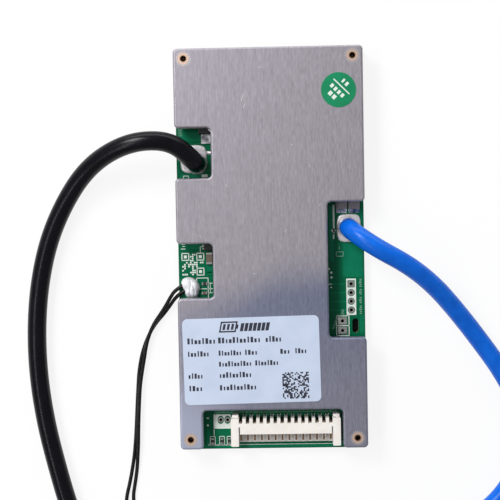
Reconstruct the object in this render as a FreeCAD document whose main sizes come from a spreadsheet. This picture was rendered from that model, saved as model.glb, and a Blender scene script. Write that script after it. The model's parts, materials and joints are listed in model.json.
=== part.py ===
import FreeCAD, Part
import math
import os
import Sketcher

os.makedirs("parts", exist_ok=True)
doc = FreeCAD.newDocument("battery_management_board")
Vector = FreeCAD.Vector
Rotation = FreeCAD.Rotation
Placement = FreeCAD.Placement

# Driving dimensions, in millimetres and degrees
SIZES = (
    # Circuit board
    ("board_length", 116.0),
    ("board_thickness", 1.6),
    ("board_corner_radius", 1.0),
    ("post_from_side", 3.0),
    ("post_from_rear", 2.9),
    ("post_from_front", 3.9),
    # Heatsink plate
    ("plate_setback", 1.0),
    ("plate_thickness", 3.0),
    ("plate_corner_radius", 1.2),
    ("notch_corner_radius", 1.2),
    ("plate_edge_radius", 0.6),
    ("lead_notch_depth", 10.35),
    ("lead_notch_before_pad", 5.65),
    ("lead_notch_behind_pad", 8.65),
    ("sensor_notch_before_glue", 2.75),
    ("sensor_notch_behind_glue", 12.9),
    ("header_notch_depth", 10.7),
    ("header_notch_before_header", 14.95),
    ("header_notch_behind_pad", 7.7),
    ("connector_notch_spare", 8.0),
    ("connector_notch_play", 0.7),
    ("connector_notch_depth", 11.2),
    # Threaded posts and their screws
    ("post_height", 3.2),
    ("post_diameter", 4.4),
    ("post_neck_diameter", 3.2),
    ("post_lip_diameter", 3.6),
    ("post_lip_height", 0.3),
    ("post_bore_diameter", 1.65),
    ("screw_thread_diameter", 2.0),
    ("screw_grip", 2.4),
    ("screw_head_diameter", 3.8),
    ("screw_head_height", 1.3),
    ("screw_slot_width", 0.6),
    ("screw_slot_length", 2.2),
    ("screw_slot_depth", 0.7),
    ("screw_clearance", 0.1),
    ("fit_clearance", 0.02),
    # Cell connector
    ("contact_pitch", 2.0),
    ("contact_count", 14),
    ("contact_row_from_front", 8.5),
    ("contact_side", 0.5),
    ("contact_height", 2.7),
    ("contact_tip", 5.6),
    ("contact_below_board", 0.9),
    ("contact_bend_radius", 0.7),
    ("contact_drill", 0.9),
    ("spare_contact_holes", 3),
    ("housing_end", 2.8),
    ("housing_from_left", 14.6),
    ("housing_from_right", 7.8),
    ("housing_rear", 1.2),
    ("housing_front", 6.9),
    ("housing_height", 5.5),
    ("housing_wall", 1.0),
    ("pillar_width", 2.2),
    ("rear_wall_front", 1.3),
    ("top_wall_front", 3.35),
    ("floor_front", 6.4),
    ("tooth_gap_width", 1.05),
    ("tooth_gap_root", 0.28),
    ("pillar_gap", 0.4),
    ("foot_width", 1.8),
    ("foot_depth", 0.85),
    ("foot_height", 4.0),
    ("foot_inset", 0.3),
    ("housing_corner_radius", 0.3),
    ("joint_height", 0.75),
    ("joint_diameter", 1.5),
    ("joint_slope", 22.0),
    # Serial header, switch pads and routed slot
    ("header_from_side", 3.95),
    ("header_first_y", -10.25),
    ("header_pitch", 2.54),
    ("header_count", 4),
    ("header_drill", 0.95),
    ("header_pad", 1.7),
    ("switch_from_side", 6.6),
    ("switch_from_header", 10.75),
    ("switch_pitch", 2.8),
    ("switch_drill", 0.95),
    ("switch_pad_width", 2.6),
    ("switch_pad_length", 2.1),
    ("bare_pad_height", 0.05),
    ("slot_from_side", 2.85),
    ("slot_from_header", 12.15),
    ("slot_width", 1.8),
    ("slot_length", 4.2),
    # Power pads, leads and sensor wires
    ("black_pad_width", 7.75),
    ("blue_pad_width", 7.0),
    ("power_pad_length", 8.2),
    ("power_pad_height", 0.5),
    ("power_pad_corner", 2.0),
    ("power_pad_round", 0.35),
    ("black_pad_from_side", 5.0),
    ("black_pad_y", 26.75),
    ("blue_pad_from_side", 4.4),
    ("blue_pad_y", 6.0),
    ("track_width", 1.15),
    ("track_height", 0.2),
    ("track_from_pad", 1.75),
    ("track_reach", 6.5),
    ("lead_diameter", 5.5),
    ("strand_diameter", 3.4),
    ("strand_length", 9.0),
    ("neck_length", 4.5),
    ("neck_width", 5.6),
    ("neck_back", 0.65),
    ("sensor_wire_diameter", 1.1),
    ("glue_from_side", 3.45),
    ("glue_y", -10.6),
    ("glue_diameter", 6.1),
    ("glue_height", 3.2),
    ("bead_diameter", 2.8),
    ("bead_length", 6.5),
    ("bead_clearance", 0.05),
    # Labels on the plate
    ("label_thickness", 0.1),
    ("rating_label_from_side", 20.95),
    ("rating_label_from_front", 26.7),
    ("rating_label_margin", 14.8),
    ("rating_label_length", 24.8),
    ("rating_label_corner", 1.5),
    ("rating_label_turn", 1.0),
    ("round_label_from_side", 7.0),
    ("round_label_from_rear", 12.6),
    ("round_label_diameter", 9.9),
    # Power transistors and their thermal pads
    ("transistor_count", 4),
    ("transistor_side_room", 20.0),
    ("transistor_width", 6.5),
    ("transistor_length", 6.1),
    ("transistor_height", 2.3),
    ("charge_from_side", 9.95),
    ("charge_from_pad", 7.1),
    ("discharge_from_shunt", 3.5),
    ("discharge_from_pad", 1.75),
    ("tab_width", 5.3),
    ("tab_length", 2.7),
    ("tab_thickness", 0.5),
    ("transistor_lead_width", 0.8),
    ("transistor_lead_reach", 2.6),
    ("transistor_lead_offset", 2.3),
    ("thermal_pad_margin", 2.1),
    # Current shunts
    ("shunt_width", 3.25),
    ("shunt_length", 6.4),
    ("shunt_height", 0.8),
    ("shunt_from_pad", 5.5),
    ("shunt_from_side", 8.05),
    ("shunt_gap", 0.4),
    ("shunt_joint_length", 1.1),
    ("shunt_joint_height", 0.4),
    # Chips
    ("monitor_chip_x", 1.5),
    ("monitor_chip_y", -9.0),
    ("monitor_chip_side", 10.0),
    ("controller_chip_x", -4.0),
    ("controller_chip_y", 7.0),
    ("controller_chip_side", 7.0),
    ("chip_height", 1.4),
    ("chip_pin_pitch", 0.8),
    ("chip_pin_width", 0.35),
    ("chip_pin_reach", 1.0),
    ("chip_pin_thickness", 0.15),
    ("chip_pin_exit", 0.6),
    ("monitor_chip_pins", 11),
    ("controller_chip_pins", 8),
    ("package_chamfer", 0.25),
    ("regulator_from_side", 9.1),
    ("regulator_from_glue", 12.25),
    ("regulator_width", 3.0),
    ("regulator_length", 3.0),
    ("regulator_height", 1.2),
    # Cell balancing row
    ("balance_count", 13),
    ("balance_pitch", 3.0),
    ("balance_centre_x", -1.0),
    ("balance_resistor_from_contacts", 12.0),
    ("balance_resistor_width", 1.6),
    ("balance_resistor_length", 3.2),
    ("balance_resistor_height", 0.6),
    ("balance_transistor_from_contacts", 17.5),
    ("balance_transistor_width", 1.3),
    ("balance_transistor_length", 2.9),
    ("balance_transistor_height", 1.0),
    ("small_lead_width", 0.4),
    ("small_lead_reach", 0.6),
    ("small_lead_thickness", 0.15),
    ("small_lead_spread", 0.95),
    # Small chip parts
    ("chip_part_length", 1.6),
    ("chip_part_width", 0.8),
    ("chip_part_height", 0.5),
    ("chip_part_end", 0.35),
    ("filter_capacitor_length", 3.3),
    ("filter_capacitor_width", 1.7),
    ("filter_capacitor_height", 1.2),
    ("filter_capacitor_end", 0.5),
    ("filter_capacitor_from_side", 9.0),
    ("filter_capacitor_from_glue", 8.5),
    ("filter_row_from_contacts", 6.3),
    ("front_part_from_edge", 2.3),
    ("front_part_1_from_contact", 8.45),
    ("front_part_2_from_contact", 5.75),
    ("front_part_3_from_contact", 3.5),
    ("edge_resistor_from_side", 7.5),
    ("edge_resistor_from_glue", 1.1),
    ("edge_capacitor_from_side", 7.4),
    ("edge_capacitor_from_glue", 1.6),
)

# Sizes and places that follow from the ones above
TIED = (
    ("housing_width", "contact_pitch * (contact_count - 1) + 2 * housing_end"),
    ("board_width", "housing_width + housing_from_left + housing_from_right"),
    ("half_width", "board_width / 2"),
    ("half_length", "board_length / 2"),
    ("plate_length", "board_length - plate_setback"),
    ("post_spacing_x", "board_width - 2 * post_from_side"),
    ("post_spacing_y", "board_length - post_from_rear - post_from_front"),
    ("first_contact_x", "housing_from_left + housing_end - half_width"),
    ("contact_row_y", "contact_row_from_front - half_length"),
    ("connector_notch_left", "housing_from_left - connector_notch_spare - half_width"),
    ("connector_notch_right", "half_width - housing_from_right + connector_notch_play"),
    ("header_x", "half_width - header_from_side"),
    ("switch_x", "half_width - switch_from_side"),
    ("switch_first_y", "header_first_y - switch_from_header"),
    ("slot_x", "half_width - slot_from_side"),
    ("slot_y", "header_first_y - slot_from_header"),
    ("black_pad_x", "black_pad_from_side - half_width"),
    ("blue_pad_x", "half_width - blue_pad_from_side"),
    ("track_y", "black_pad_y + track_from_pad"),
    ("track_right", "black_pad_x + track_reach"),
    ("glue_x", "glue_from_side - half_width"),
    ("lead_notch_front", "black_pad_y - lead_notch_before_pad"),
    ("lead_notch_rear", "black_pad_y + lead_notch_behind_pad"),
    ("sensor_notch_front", "glue_y - sensor_notch_before_glue"),
    ("sensor_notch_rear", "glue_y + sensor_notch_behind_glue"),
    ("header_notch_front", "header_first_y - header_notch_before_header"),
    ("header_notch_rear", "blue_pad_y + header_notch_behind_pad"),
    ("rating_label_x", "rating_label_from_side - half_width"),
    ("rating_label_y", "rating_label_from_front - half_length"),
    ("rating_label_width", "board_width - rating_label_margin"),
    ("round_label_x", "half_width - round_label_from_side"),
    ("round_label_y", "half_length - round_label_from_rear"),
    ("transistor_pitch", "(board_width - transistor_side_room) / transistor_count"),
    ("shunt_left_x", "half_width - shunt_from_side"),
    ("shunt_front_y", "blue_pad_y + shunt_from_pad"),
    ("charge_first_x", "charge_from_side - half_width"),
    ("charge_front_y", "black_pad_y + charge_from_pad"),
    ("discharge_span", "transistor_pitch * (transistor_count - 1)"),
    ("discharge_first_x", "shunt_left_x - discharge_from_shunt - discharge_span"),
    ("discharge_rear_y", "black_pad_y - discharge_from_pad"),
    ("regulator_x", "regulator_from_side - half_width"),
    ("regulator_y", "glue_y + regulator_from_glue"),
    ("balance_resistor_y", "contact_row_y + balance_resistor_from_contacts"),
    ("balance_transistor_y", "contact_row_y + balance_transistor_from_contacts"),
    ("filter_capacitor_x", "filter_capacitor_from_side - half_width"),
    ("filter_capacitor_y", "glue_y + filter_capacitor_from_glue"),
    ("filter_row_y", "contact_row_y + filter_row_from_contacts"),
    ("front_part_y", "front_part_from_edge - half_length"),
    ("edge_resistor_x", "edge_resistor_from_side - half_width"),
    ("edge_resistor_y", "glue_y + edge_resistor_from_glue"),
    ("edge_capacitor_x", "edge_capacitor_from_side - half_width"),
    ("edge_capacitor_y", "glue_y - edge_capacitor_from_glue"),
)

# Control points of the cords, each from the board to the free end, and where the pad or
# the glue that each one starts from stands for these points
BLACK_LEAD_FOOT = (-22.0, 26.75)
BLUE_LEAD_FOOT = (22.6, 6.0)
SENSOR_FOOT = (-23.55, -10.6)
BLACK_LEAD = (
    (-20.8, 25.4, 5.35), (-23.6, 28.0, 9.2), (-29.2, 30.6, 12.6), (-37.0, 31.6, 13.2),
    (-45.4, 29.2, 10.4), (-53.4, 23.6, 6.4), (-59.9, 14.8, 3.4), (-64.9, 4.0, 2.75),
    (-67.9, -8.5, 2.75), (-69.2, -22.0, 2.75), (-68.9, -36.0, 2.75), (-67.0, -50.0, 2.75),
    (-64.0, -63.0, 2.75), (-60.8, -75.0, 2.75), (-56.6, -86.0, 2.75), (-49.0, -95.5, 2.75),
    (-38.5, -102.0, 2.75), (-26.5, -104.5, 2.75), (-16.7, -104.2, 2.75),
)
BLUE_LEAD = (
    (22.0, 6.4, 5.5), (25.4, 3.9, 9.3), (31.4, 0.5, 11.9), (39.0, -4.3, 11.4),
    (46.6, -10.8, 8.0), (53.4, -18.6, 4.6), (60.0, -27.2, 2.75), (66.6, -36.6, 2.75),
    (72.0, -47.4, 2.75), (73.0, -60.0, 2.75), (67.4, -72.0, 2.75), (57.4, -80.6, 2.75),
    (44.8, -86.0, 2.75), (31.0, -88.6, 2.75), (17.5, -88.4, 2.75), (4.5, -87.4, 2.75),
    (-8.0, -89.2, 2.75), (-20.4, -92.4, 2.75), (-25.3, -93.2, 2.75),
)
SENSOR_WIRE_A = (
    (-24.6, -9.2, 4.3), (-27.9, -10.9, 4.1), (-29.7, -13.5, 3.1), (-31.1, -15.9, 2.2),
    (-32.8, -18.4, 1.8), (-34.6, -20.9, 1.7), (-35.9, -23.6, 1.7), (-36.8, -26.2, 1.7),
    (-37.3, -28.4, 1.65), (-37.8, -31.3, 1.5), (-38.6, -35.5, 1.5), (-39.2, -39.5, 1.65),
    (-39.5, -43.6, 1.7), (-39.8, -48.6, 1.7), (-40.0, -53.1, 1.6), (-40.1, -56.7, 1.5),
    (-40.4, -60.3, 1.15), (-40.7, -64.0, 0.6), (-41.4, -68.4, 0.55), (-42.2, -72.7, 0.55),
    (-41.4, -76.9, 0.55), (-37.6, -79.3, 0.55), (-31.6, -80.0, 0.55), (-24.4, -79.4, 0.55),
    (-16.0, -79.0, 0.55), (-7.0, -79.7, 0.55), (2.0, -80.1, 0.55), (11.0, -79.5, 0.55),
    (19.5, -79.1, 0.8), (24.4, -79.2, 1.2),
)
SENSOR_WIRE_B = (
    (-24.4, -10.9, 3.9), (-26.6, -12.1, 3.95), (-28.4, -13.8, 3.0), (-30.0, -16.0, 1.3),
    (-32.0, -18.5, 0.6), (-34.2, -20.9, 0.55), (-36.0, -23.7, 0.55), (-37.2, -26.3, 0.55),
    (-38.0, -28.4, 0.55), (-38.8, -31.2, 0.55), (-39.6, -35.6, 0.55), (-39.9, -39.6, 0.55),
    (-40.2, -43.7, 0.55), (-40.5, -48.7, 0.55), (-40.8, -53.2, 0.55), (-41.1, -56.8, 0.55),
    (-41.5, -60.4, 0.55), (-42.1, -63.9, 0.55), (-43.0, -68.4, 0.55), (-44.2, -73.0, 0.55),
    (-44.1, -77.4, 0.55), (-41.4, -80.4, 0.55), (-36.4, -81.6, 0.55), (-30.6, -81.6, 0.55),
    (-24.0, -80.9, 0.55), (-16.0, -80.5, 0.55), (-7.0, -81.2, 0.55), (2.0, -81.6, 0.55),
    (11.0, -81.0, 0.55), (19.5, -80.5, 0.8), (24.4, -80.45, 1.2),
)

sheet = doc.addObject("Spreadsheet::Sheet", "sizes")
tied = tuple((alias, f"={formula}") for alias, formula in TIED)
for row, (alias, value) in enumerate(SIZES + tied, start=1):
    sheet.set(f"A{row}", alias)
    sheet.set(f"B{row}", str(value))
    sheet.setAlias(f"B{row}", alias)
doc.recompute()

# Levels and lines that several pieces share, as expressions on the sheet
BOARD_UNDER = "sizes.screw_head_height"
BOARD_TOP = f"({BOARD_UNDER} + sizes.board_thickness)"
PLATE_UNDER = f"({BOARD_TOP} + sizes.post_height)"
PLATE_TOP = f"({PLATE_UNDER} + sizes.plate_thickness)"
BOARD_LEFT = "(-sizes.half_width)"
BOARD_RIGHT = "sizes.half_width"
BOARD_REAR = "sizes.half_length"
BOARD_FRONT = "(-sizes.half_length)"
PLATE_FRONT = f"({BOARD_REAR} - sizes.plate_length)"
POST_RIGHT = "(sizes.post_spacing_x / 2)"
POST_REAR = f"({BOARD_REAR} - sizes.post_from_rear)"
POST_FRONT = f"({POST_REAR} - sizes.post_spacing_y)"
CONTACT_SPAN = "(sizes.contact_pitch * (sizes.contact_count - 1))"
CONNECTOR_X = f"(sizes.first_contact_x + {CONTACT_SPAN} / 2)"
CAVITY_RIGHT = "(sizes.housing_width / 2 - sizes.pillar_width)"
OVERRUN = 1.0

POSTS = {
    "rear_left": (f"-{POST_RIGHT}", POST_REAR),
    "rear_right": (POST_RIGHT, POST_REAR),
    "front_left": (f"-{POST_RIGHT}", POST_FRONT),
    "front_right": (POST_RIGHT, POST_FRONT),
}

nodes = []


def number(text):
    """Work out an expression on the sheet."""
    return float(sheet.evalExpression(str(text)))


def carried(route, foot, x, y):
    """Move a route along with the place that it starts from."""
    across = number(x) - foot[0]
    along = number(y) - foot[1]
    return tuple((point[0] + across, point[1] + along, point[2]) for point in route)


black_route = carried(BLACK_LEAD, BLACK_LEAD_FOOT, "sizes.black_pad_x", "sizes.black_pad_y")
blue_route = carried(BLUE_LEAD, BLUE_LEAD_FOOT, "sizes.blue_pad_x", "sizes.blue_pad_y")
wire_a_route = carried(SENSOR_WIRE_A, SENSOR_FOOT, "sizes.glue_x", "sizes.glue_y")
wire_b_route = carried(SENSOR_WIRE_B, SENSOR_FOOT, "sizes.glue_x", "sizes.glue_y")


def node(item, label):
    """Name a finished piece and list it as a node."""
    item.Label = label
    nodes.append(item)
    return item


def bind(item, path, text):
    """Tie one property of a piece to an expression on the sheet."""
    item.setExpression(path, str(text))


def place(item, x="0", y="0", z="0"):
    """Tie the place of a piece to three expressions."""
    for axis, text in zip("xyz", (x, y, z)):
        bind(item, f"Placement.Base.{axis}", text)
    return item


def new_body(name, x="0", y="0", z="0", loose=False):
    """Start a body; a loose one may hold several separate solids."""
    body = doc.addObject("PartDesign::Body", name)
    body.AllowCompound = loose
    return place(body, x, y, z)


def origin_part(body, role):
    """Find one origin plane or axis of a body by its role."""
    return next(part for part in body.Origin.OriginFeatures if part.Role == role)


def new_sketch(body, name, plane="XY_Plane", offset="0"):
    """Attach an empty sketch to an origin plane, moved along its normal by offset."""
    sketch = body.newObject("Sketcher::SketchObject", f"{body.Name}_{name}")
    sketch.AttachmentSupport = [(origin_part(body, plane), "")]
    sketch.MapMode = "FlatFace"
    bind(sketch, "AttachmentOffset.Base.z", offset)
    return sketch


def distance(sketch, kind, line, point, text, name):
    """Hold one point of a sketch at a signed distance from its origin."""
    index = sketch.addConstraint(Sketcher.Constraint(kind, -1, 1, line, point, number(text)))
    sketch.renameConstraint(index, name)
    bind(sketch, f"Constraints.{name}", text)


def polygon(sketch, key, corners):
    """Draw a closed polygon whose corners are pairs of expressions."""
    first = sketch.GeometryCount
    points = [Vector(number(x), number(y), 0) for x, y in corners]
    count = len(points)
    for i in range(count):
        sketch.addGeometry(Part.LineSegment(points[i], points[(i + 1) % count]), False)
    for i in range(count):
        joint = Sketcher.Constraint("Coincident", first + i, 2, first + (i + 1) % count, 1)
        sketch.addConstraint(joint)
    for i, (x, y) in enumerate(corners):
        distance(sketch, "DistanceX", first + i, 1, x, f"{key}_x{i}")
        distance(sketch, "DistanceY", first + i, 1, y, f"{key}_y{i}")


def rectangle(sketch, key, left, right, front, rear):
    """Draw a rectangle from its four sides."""
    corners = ((left, front), (right, front), (right, rear), (left, rear))
    polygon(sketch, key, corners)


def circle(sketch, key, x, y, diameter):
    """Draw a circle from its centre and its diameter."""
    index = sketch.GeometryCount
    centre = Vector(number(x), number(y), 0)
    sketch.addGeometry(Part.Circle(centre, Vector(0, 0, 1), number(diameter) / 2), False)
    distance(sketch, "DistanceX", index, 3, x, f"{key}_x")
    distance(sketch, "DistanceY", index, 3, y, f"{key}_y")
    radius = sketch.addConstraint(Sketcher.Constraint("Diameter", index, number(diameter)))
    sketch.renameConstraint(radius, f"{key}_diameter")
    bind(sketch, f"Constraints.{key}_diameter", diameter)


def pad(body, name, sketch, length, centred=False, draft=None):
    """Raise a sketch by a length, to one side or to both."""
    feature = body.newObject("PartDesign::Pad", f"{body.Name}_{name}")
    feature.Profile = sketch
    if centred:
        feature.SideType = "Symmetric"
    if draft is not None:
        bind(feature, "TaperAngle", f"-{draft}")
    bind(feature, "Length", length)
    doc.recompute()
    return feature


def pocket(body, name, sketch, length=None, forward=False):
    """Cut a sketch, right through when no length is given, and check that it removes material."""
    before = body.Shape.Volume
    feature = body.newObject("PartDesign::Pocket", f"{body.Name}_{name}")
    feature.Profile = sketch
    feature.Reversed = forward
    if length is None:
        feature.Type = "ThroughAll"
    else:
        bind(feature, "Length", length)
    doc.recompute()
    if not body.Shape.Volume < before:
        raise RuntimeError(f"{feature.Name} cuts nothing")
    return feature


def turned(body, name, corners):
    """Revolve a half section, given as radius and height pairs, about the body's Z axis."""
    sketch = new_sketch(body, f"{name}_section", "XZ_Plane")
    polygon(sketch, name, corners)
    feature = body.newObject("PartDesign::Revolution", f"{body.Name}_{name}")
    feature.Profile = sketch
    feature.ReferenceAxis = (sketch, ["V_Axis"])
    feature.Angle = 360
    doc.recompute()
    return feature


def row_of(body, name, features, axis, length, count, backwards=False):
    """Repeat features along an axis of their body."""
    pattern = body.newObject("PartDesign::LinearPattern", f"{body.Name}_{name}")
    pattern.Originals = features
    pattern.Direction = (origin_part(body, axis), [""])
    pattern.Reversed = backwards
    bind(pattern, "Length", length)
    bind(pattern, "Occurrences", count)
    body.Tip = pattern
    doc.recompute()
    return pattern


def round_edges(body, name, chosen, radius):
    """Fillet the edges of a body's tip that a test picks out."""
    base = body.Tip
    edges = [f"Edge{i}" for i, edge in enumerate(base.Shape.Edges, start=1) if chosen(edge)]
    feature = body.newObject("PartDesign::Fillet", f"{body.Name}_{name}")
    feature.Base = (base, edges)
    bind(feature, "Radius", radius)
    doc.recompute()
    return feature


def upright(edge):
    """Tell whether an edge is straight and vertical."""
    box = edge.BoundBox
    return len(edge.Vertexes) == 2 and max(box.XLength, box.YLength) < 1e-6


def level(edge, height):
    """Tell whether an edge lies flat at a height."""
    box = edge.BoundBox
    return box.ZLength < 1e-6 and abs(box.ZMin - height) < 1e-6


def block(name, left, right, front, rear, low, high):
    """A rectangular block between six planes."""
    item = doc.addObject("Part::Box", name)
    bind(item, "Length", f"({right}) - ({left})")
    bind(item, "Width", f"({rear}) - ({front})")
    bind(item, "Height", f"({high}) - ({low})")
    return place(item, left, front, low)


def centred_block(name, x, y, width, length, low, height):
    """A rectangular block about a centre line."""
    left = f"({x}) - ({width}) / 2"
    right = f"({x}) + ({width}) / 2"
    front = f"({y}) - ({length}) / 2"
    rear = f"({y}) + ({length}) / 2"
    return block(name, left, right, front, rear, low, f"({low}) + ({height})")


def group(label, pieces):
    """Keep several separate solids together as one node."""
    item = doc.addObject("Part::Compound", label)
    item.Links = pieces
    return node(item, label)


def make_circuit_board():
    """The board with its post, connector, header and switch holes and a routed slot."""
    body = new_body("circuit_board", z=BOARD_UNDER)
    outline = new_sketch(body, "outline")
    rectangle(outline, "side", BOARD_LEFT, BOARD_RIGHT, BOARD_FRONT, BOARD_REAR)
    pad(body, "sheet", outline, "sizes.board_thickness")
    round_edges(body, "corners", upright, "sizes.board_corner_radius")

    holes = new_sketch(body, "post_holes")
    for key, (x, y) in POSTS.items():
        circle(holes, key, x, y, "sizes.screw_thread_diameter + 2 * sizes.screw_clearance")
    pocket(body, "post_drill", holes, forward=True)

    first_x = "sizes.first_contact_x - sizes.spare_contact_holes * sizes.contact_pitch"
    contact = new_sketch(body, "contact_hole")
    circle(contact, "contact", first_x, "sizes.contact_row_y", "sizes.contact_drill")
    drill = pocket(body, "contact_drill", contact, forward=True)
    count = "sizes.contact_count + sizes.spare_contact_holes"
    row_of(body, "contact_row", [drill], "X_Axis", f"sizes.contact_pitch * ({count} - 1)", count)

    header = new_sketch(body, "header_hole")
    circle(header, "header", "sizes.header_x", "sizes.header_first_y", "sizes.header_drill")
    drill = pocket(body, "header_drill", header, forward=True)
    span = "sizes.header_pitch * (sizes.header_count - 1)"
    row_of(body, "header_row", [drill], "Y_Axis", span, "sizes.header_count", backwards=True)

    other = new_sketch(body, "switch_holes")
    for i in range(2):
        y = f"sizes.switch_first_y - {i} * sizes.switch_pitch"
        circle(other, f"switch_{i}", "sizes.switch_x", y, "sizes.switch_drill")
    pocket(body, "switch_drill", other, forward=True)

    slot = new_sketch(body, "slot")
    half = "sizes.slot_width / 2"
    reach = "sizes.slot_length / 2"
    rectangle(slot, "slot", f"sizes.slot_x - {half}", f"sizes.slot_x + {half}",
              f"sizes.slot_y - {reach}", f"sizes.slot_y + {reach}")
    pocket(body, "slot_cut", slot, forward=True)
    slot_x = number("sizes.slot_x")
    slot_y = number("sizes.slot_y")

    def slot_corner(edge):
        centre = edge.BoundBox.Center
        near = math.hypot(centre.x - slot_x, centre.y - slot_y) < number("sizes.slot_length")
        return near and upright(edge)

    round_edges(body, "slot_ends", slot_corner, "sizes.slot_width / 2 - 0.01")
    node(body, "circuit_board")


def make_heatsink_plate():
    """The aluminium plate with four notches and four holes that hold the posts."""
    body = new_body("heatsink_plate", z=PLATE_UNDER)
    outline = new_sketch(body, "outline")
    rectangle(outline, "side", BOARD_LEFT, BOARD_RIGHT, PLATE_FRONT, BOARD_REAR)
    pad(body, "slab", outline, "sizes.plate_thickness")

    notches = new_sketch(body, "notches")
    outside_left = f"{BOARD_LEFT} - {OVERRUN}"
    outside_right = f"{BOARD_RIGHT} + {OVERRUN}"
    inside_left = f"{BOARD_LEFT} + sizes.lead_notch_depth"
    inside_right = f"{BOARD_RIGHT} - sizes.header_notch_depth"
    rectangle(notches, "lead", outside_left, inside_left,
              "sizes.lead_notch_front", "sizes.lead_notch_rear")
    rectangle(notches, "sensor", outside_left, inside_left,
              "sizes.sensor_notch_front", "sizes.sensor_notch_rear")
    rectangle(notches, "header", inside_right, outside_right,
              "sizes.header_notch_front", "sizes.header_notch_rear")
    rectangle(notches, "connector", "sizes.connector_notch_left", "sizes.connector_notch_right",
              f"{PLATE_FRONT} - {OVERRUN}", f"{PLATE_FRONT} + sizes.connector_notch_depth")
    pocket(body, "notch_cut", notches, forward=True)

    half_width = number("sizes.board_width") / 2
    front = number(PLATE_FRONT)
    rear = number(BOARD_REAR)

    def on_outline(edge):
        centre = edge.BoundBox.Center
        sides = abs(abs(centre.x) - half_width), abs(centre.y - front), abs(centre.y - rear)
        return min(sides) < 1e-6

    round_edges(body, "outer_corners", lambda edge: upright(edge) and on_outline(edge),
                "sizes.plate_corner_radius")
    round_edges(body, "inner_corners", lambda edge: upright(edge) and notch_corner(edge),
                "sizes.notch_corner_radius")
    top = number("sizes.plate_thickness")
    round_edges(body, "top_edge", lambda edge: level(edge, top), "sizes.plate_edge_radius")

    holes = new_sketch(body, "post_holes")
    lips = new_sketch(body, "post_lips", offset="sizes.plate_thickness - sizes.post_lip_height")
    for key, (x, y) in POSTS.items():
        circle(holes, key, x, y, "sizes.post_neck_diameter + 2 * sizes.fit_clearance")
        circle(lips, key, x, y, "sizes.post_lip_diameter + 2 * sizes.fit_clearance")
    pocket(body, "post_drill", holes, forward=True)
    pocket(body, "post_seats", lips, forward=True)
    node(body, "heatsink_plate")


def notch_corner(edge):
    """Tell whether a vertical edge stands at an inner corner of one of the notches."""
    depths = (number("sizes.lead_notch_depth"), number("sizes.header_notch_depth"))
    left = -number("sizes.board_width") / 2 + depths[0]
    right = number("sizes.board_width") / 2 - depths[1]
    deep = number(f"{PLATE_FRONT} + sizes.connector_notch_depth")
    centre = edge.BoundBox.Center
    return min(abs(centre.x - left), abs(centre.x - right), abs(centre.y - deep)) < 1e-6


def make_posts():
    """Four brass posts: a spacer under the plate, a neck pressed into it and a swaged lip."""
    for key, (x, y) in POSTS.items():
        body = new_body(f"post_{key}", x, y, BOARD_TOP)
        bore = "sizes.post_bore_diameter / 2"
        thread = "sizes.screw_thread_diameter / 2"
        outside = "sizes.post_diameter / 2"
        neck = "sizes.post_neck_diameter / 2"
        lip = "sizes.post_lip_diameter / 2"
        shoulder = "sizes.post_height"
        top = "sizes.post_height + sizes.plate_thickness"
        turned(body, "turned", (
            (thread, "0"),
            (outside, "0"),
            (outside, shoulder),
            (neck, shoulder),
            (neck, f"{top} - sizes.post_lip_height"),
            (lip, f"{top} - sizes.post_lip_height"),
            (lip, top),
            (bore, top),
            (bore, "sizes.screw_grip + 2 * sizes.screw_clearance"),
            (thread, "sizes.screw_grip + sizes.screw_clearance"),
        ))
        node(body, f"threaded_post_{key}")


def make_screws():
    """Four pan head screws that come up through the board into the posts."""
    for key, (x, y) in POSTS.items():
        body = new_body(f"screw_{key}", x, y)
        shank = "sizes.screw_thread_diameter / 2 - sizes.fit_clearance"
        head = "sizes.screw_head_diameter / 2"
        under = "sizes.screw_head_height"
        tip = f"{BOARD_TOP} + sizes.screw_grip"
        turned(body, "turned", (
            ("0", "0"),
            (f"{head} * 0.7", "0"),
            (f"{head} * 0.93", f"{under} * 0.25"),
            (head, f"{under} * 0.6"),
            (head, under),
            (shank, under),
            (shank, f"{tip} - 0.3"),
            (f"{shank} - 0.3", tip),
            ("0", tip),
        ))
        recess = new_sketch(body, "recess")
        half = "sizes.screw_slot_width / 2"
        reach = "sizes.screw_slot_length / 2"
        polygon(recess, "cross", (
            (f"-{half}", f"-{reach}"), (half, f"-{reach}"), (half, f"-{half}"),
            (reach, f"-{half}"), (reach, half), (half, half),
            (half, reach), (f"-{half}", reach), (f"-{half}", half),
            (f"-{reach}", half), (f"-{reach}", f"-{half}"), (f"-{half}", f"-{half}"),
        ))
        pocket(body, "recess_cut", recess, "sizes.screw_slot_depth", forward=True)
        node(body, f"board_screw_{key}")


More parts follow.
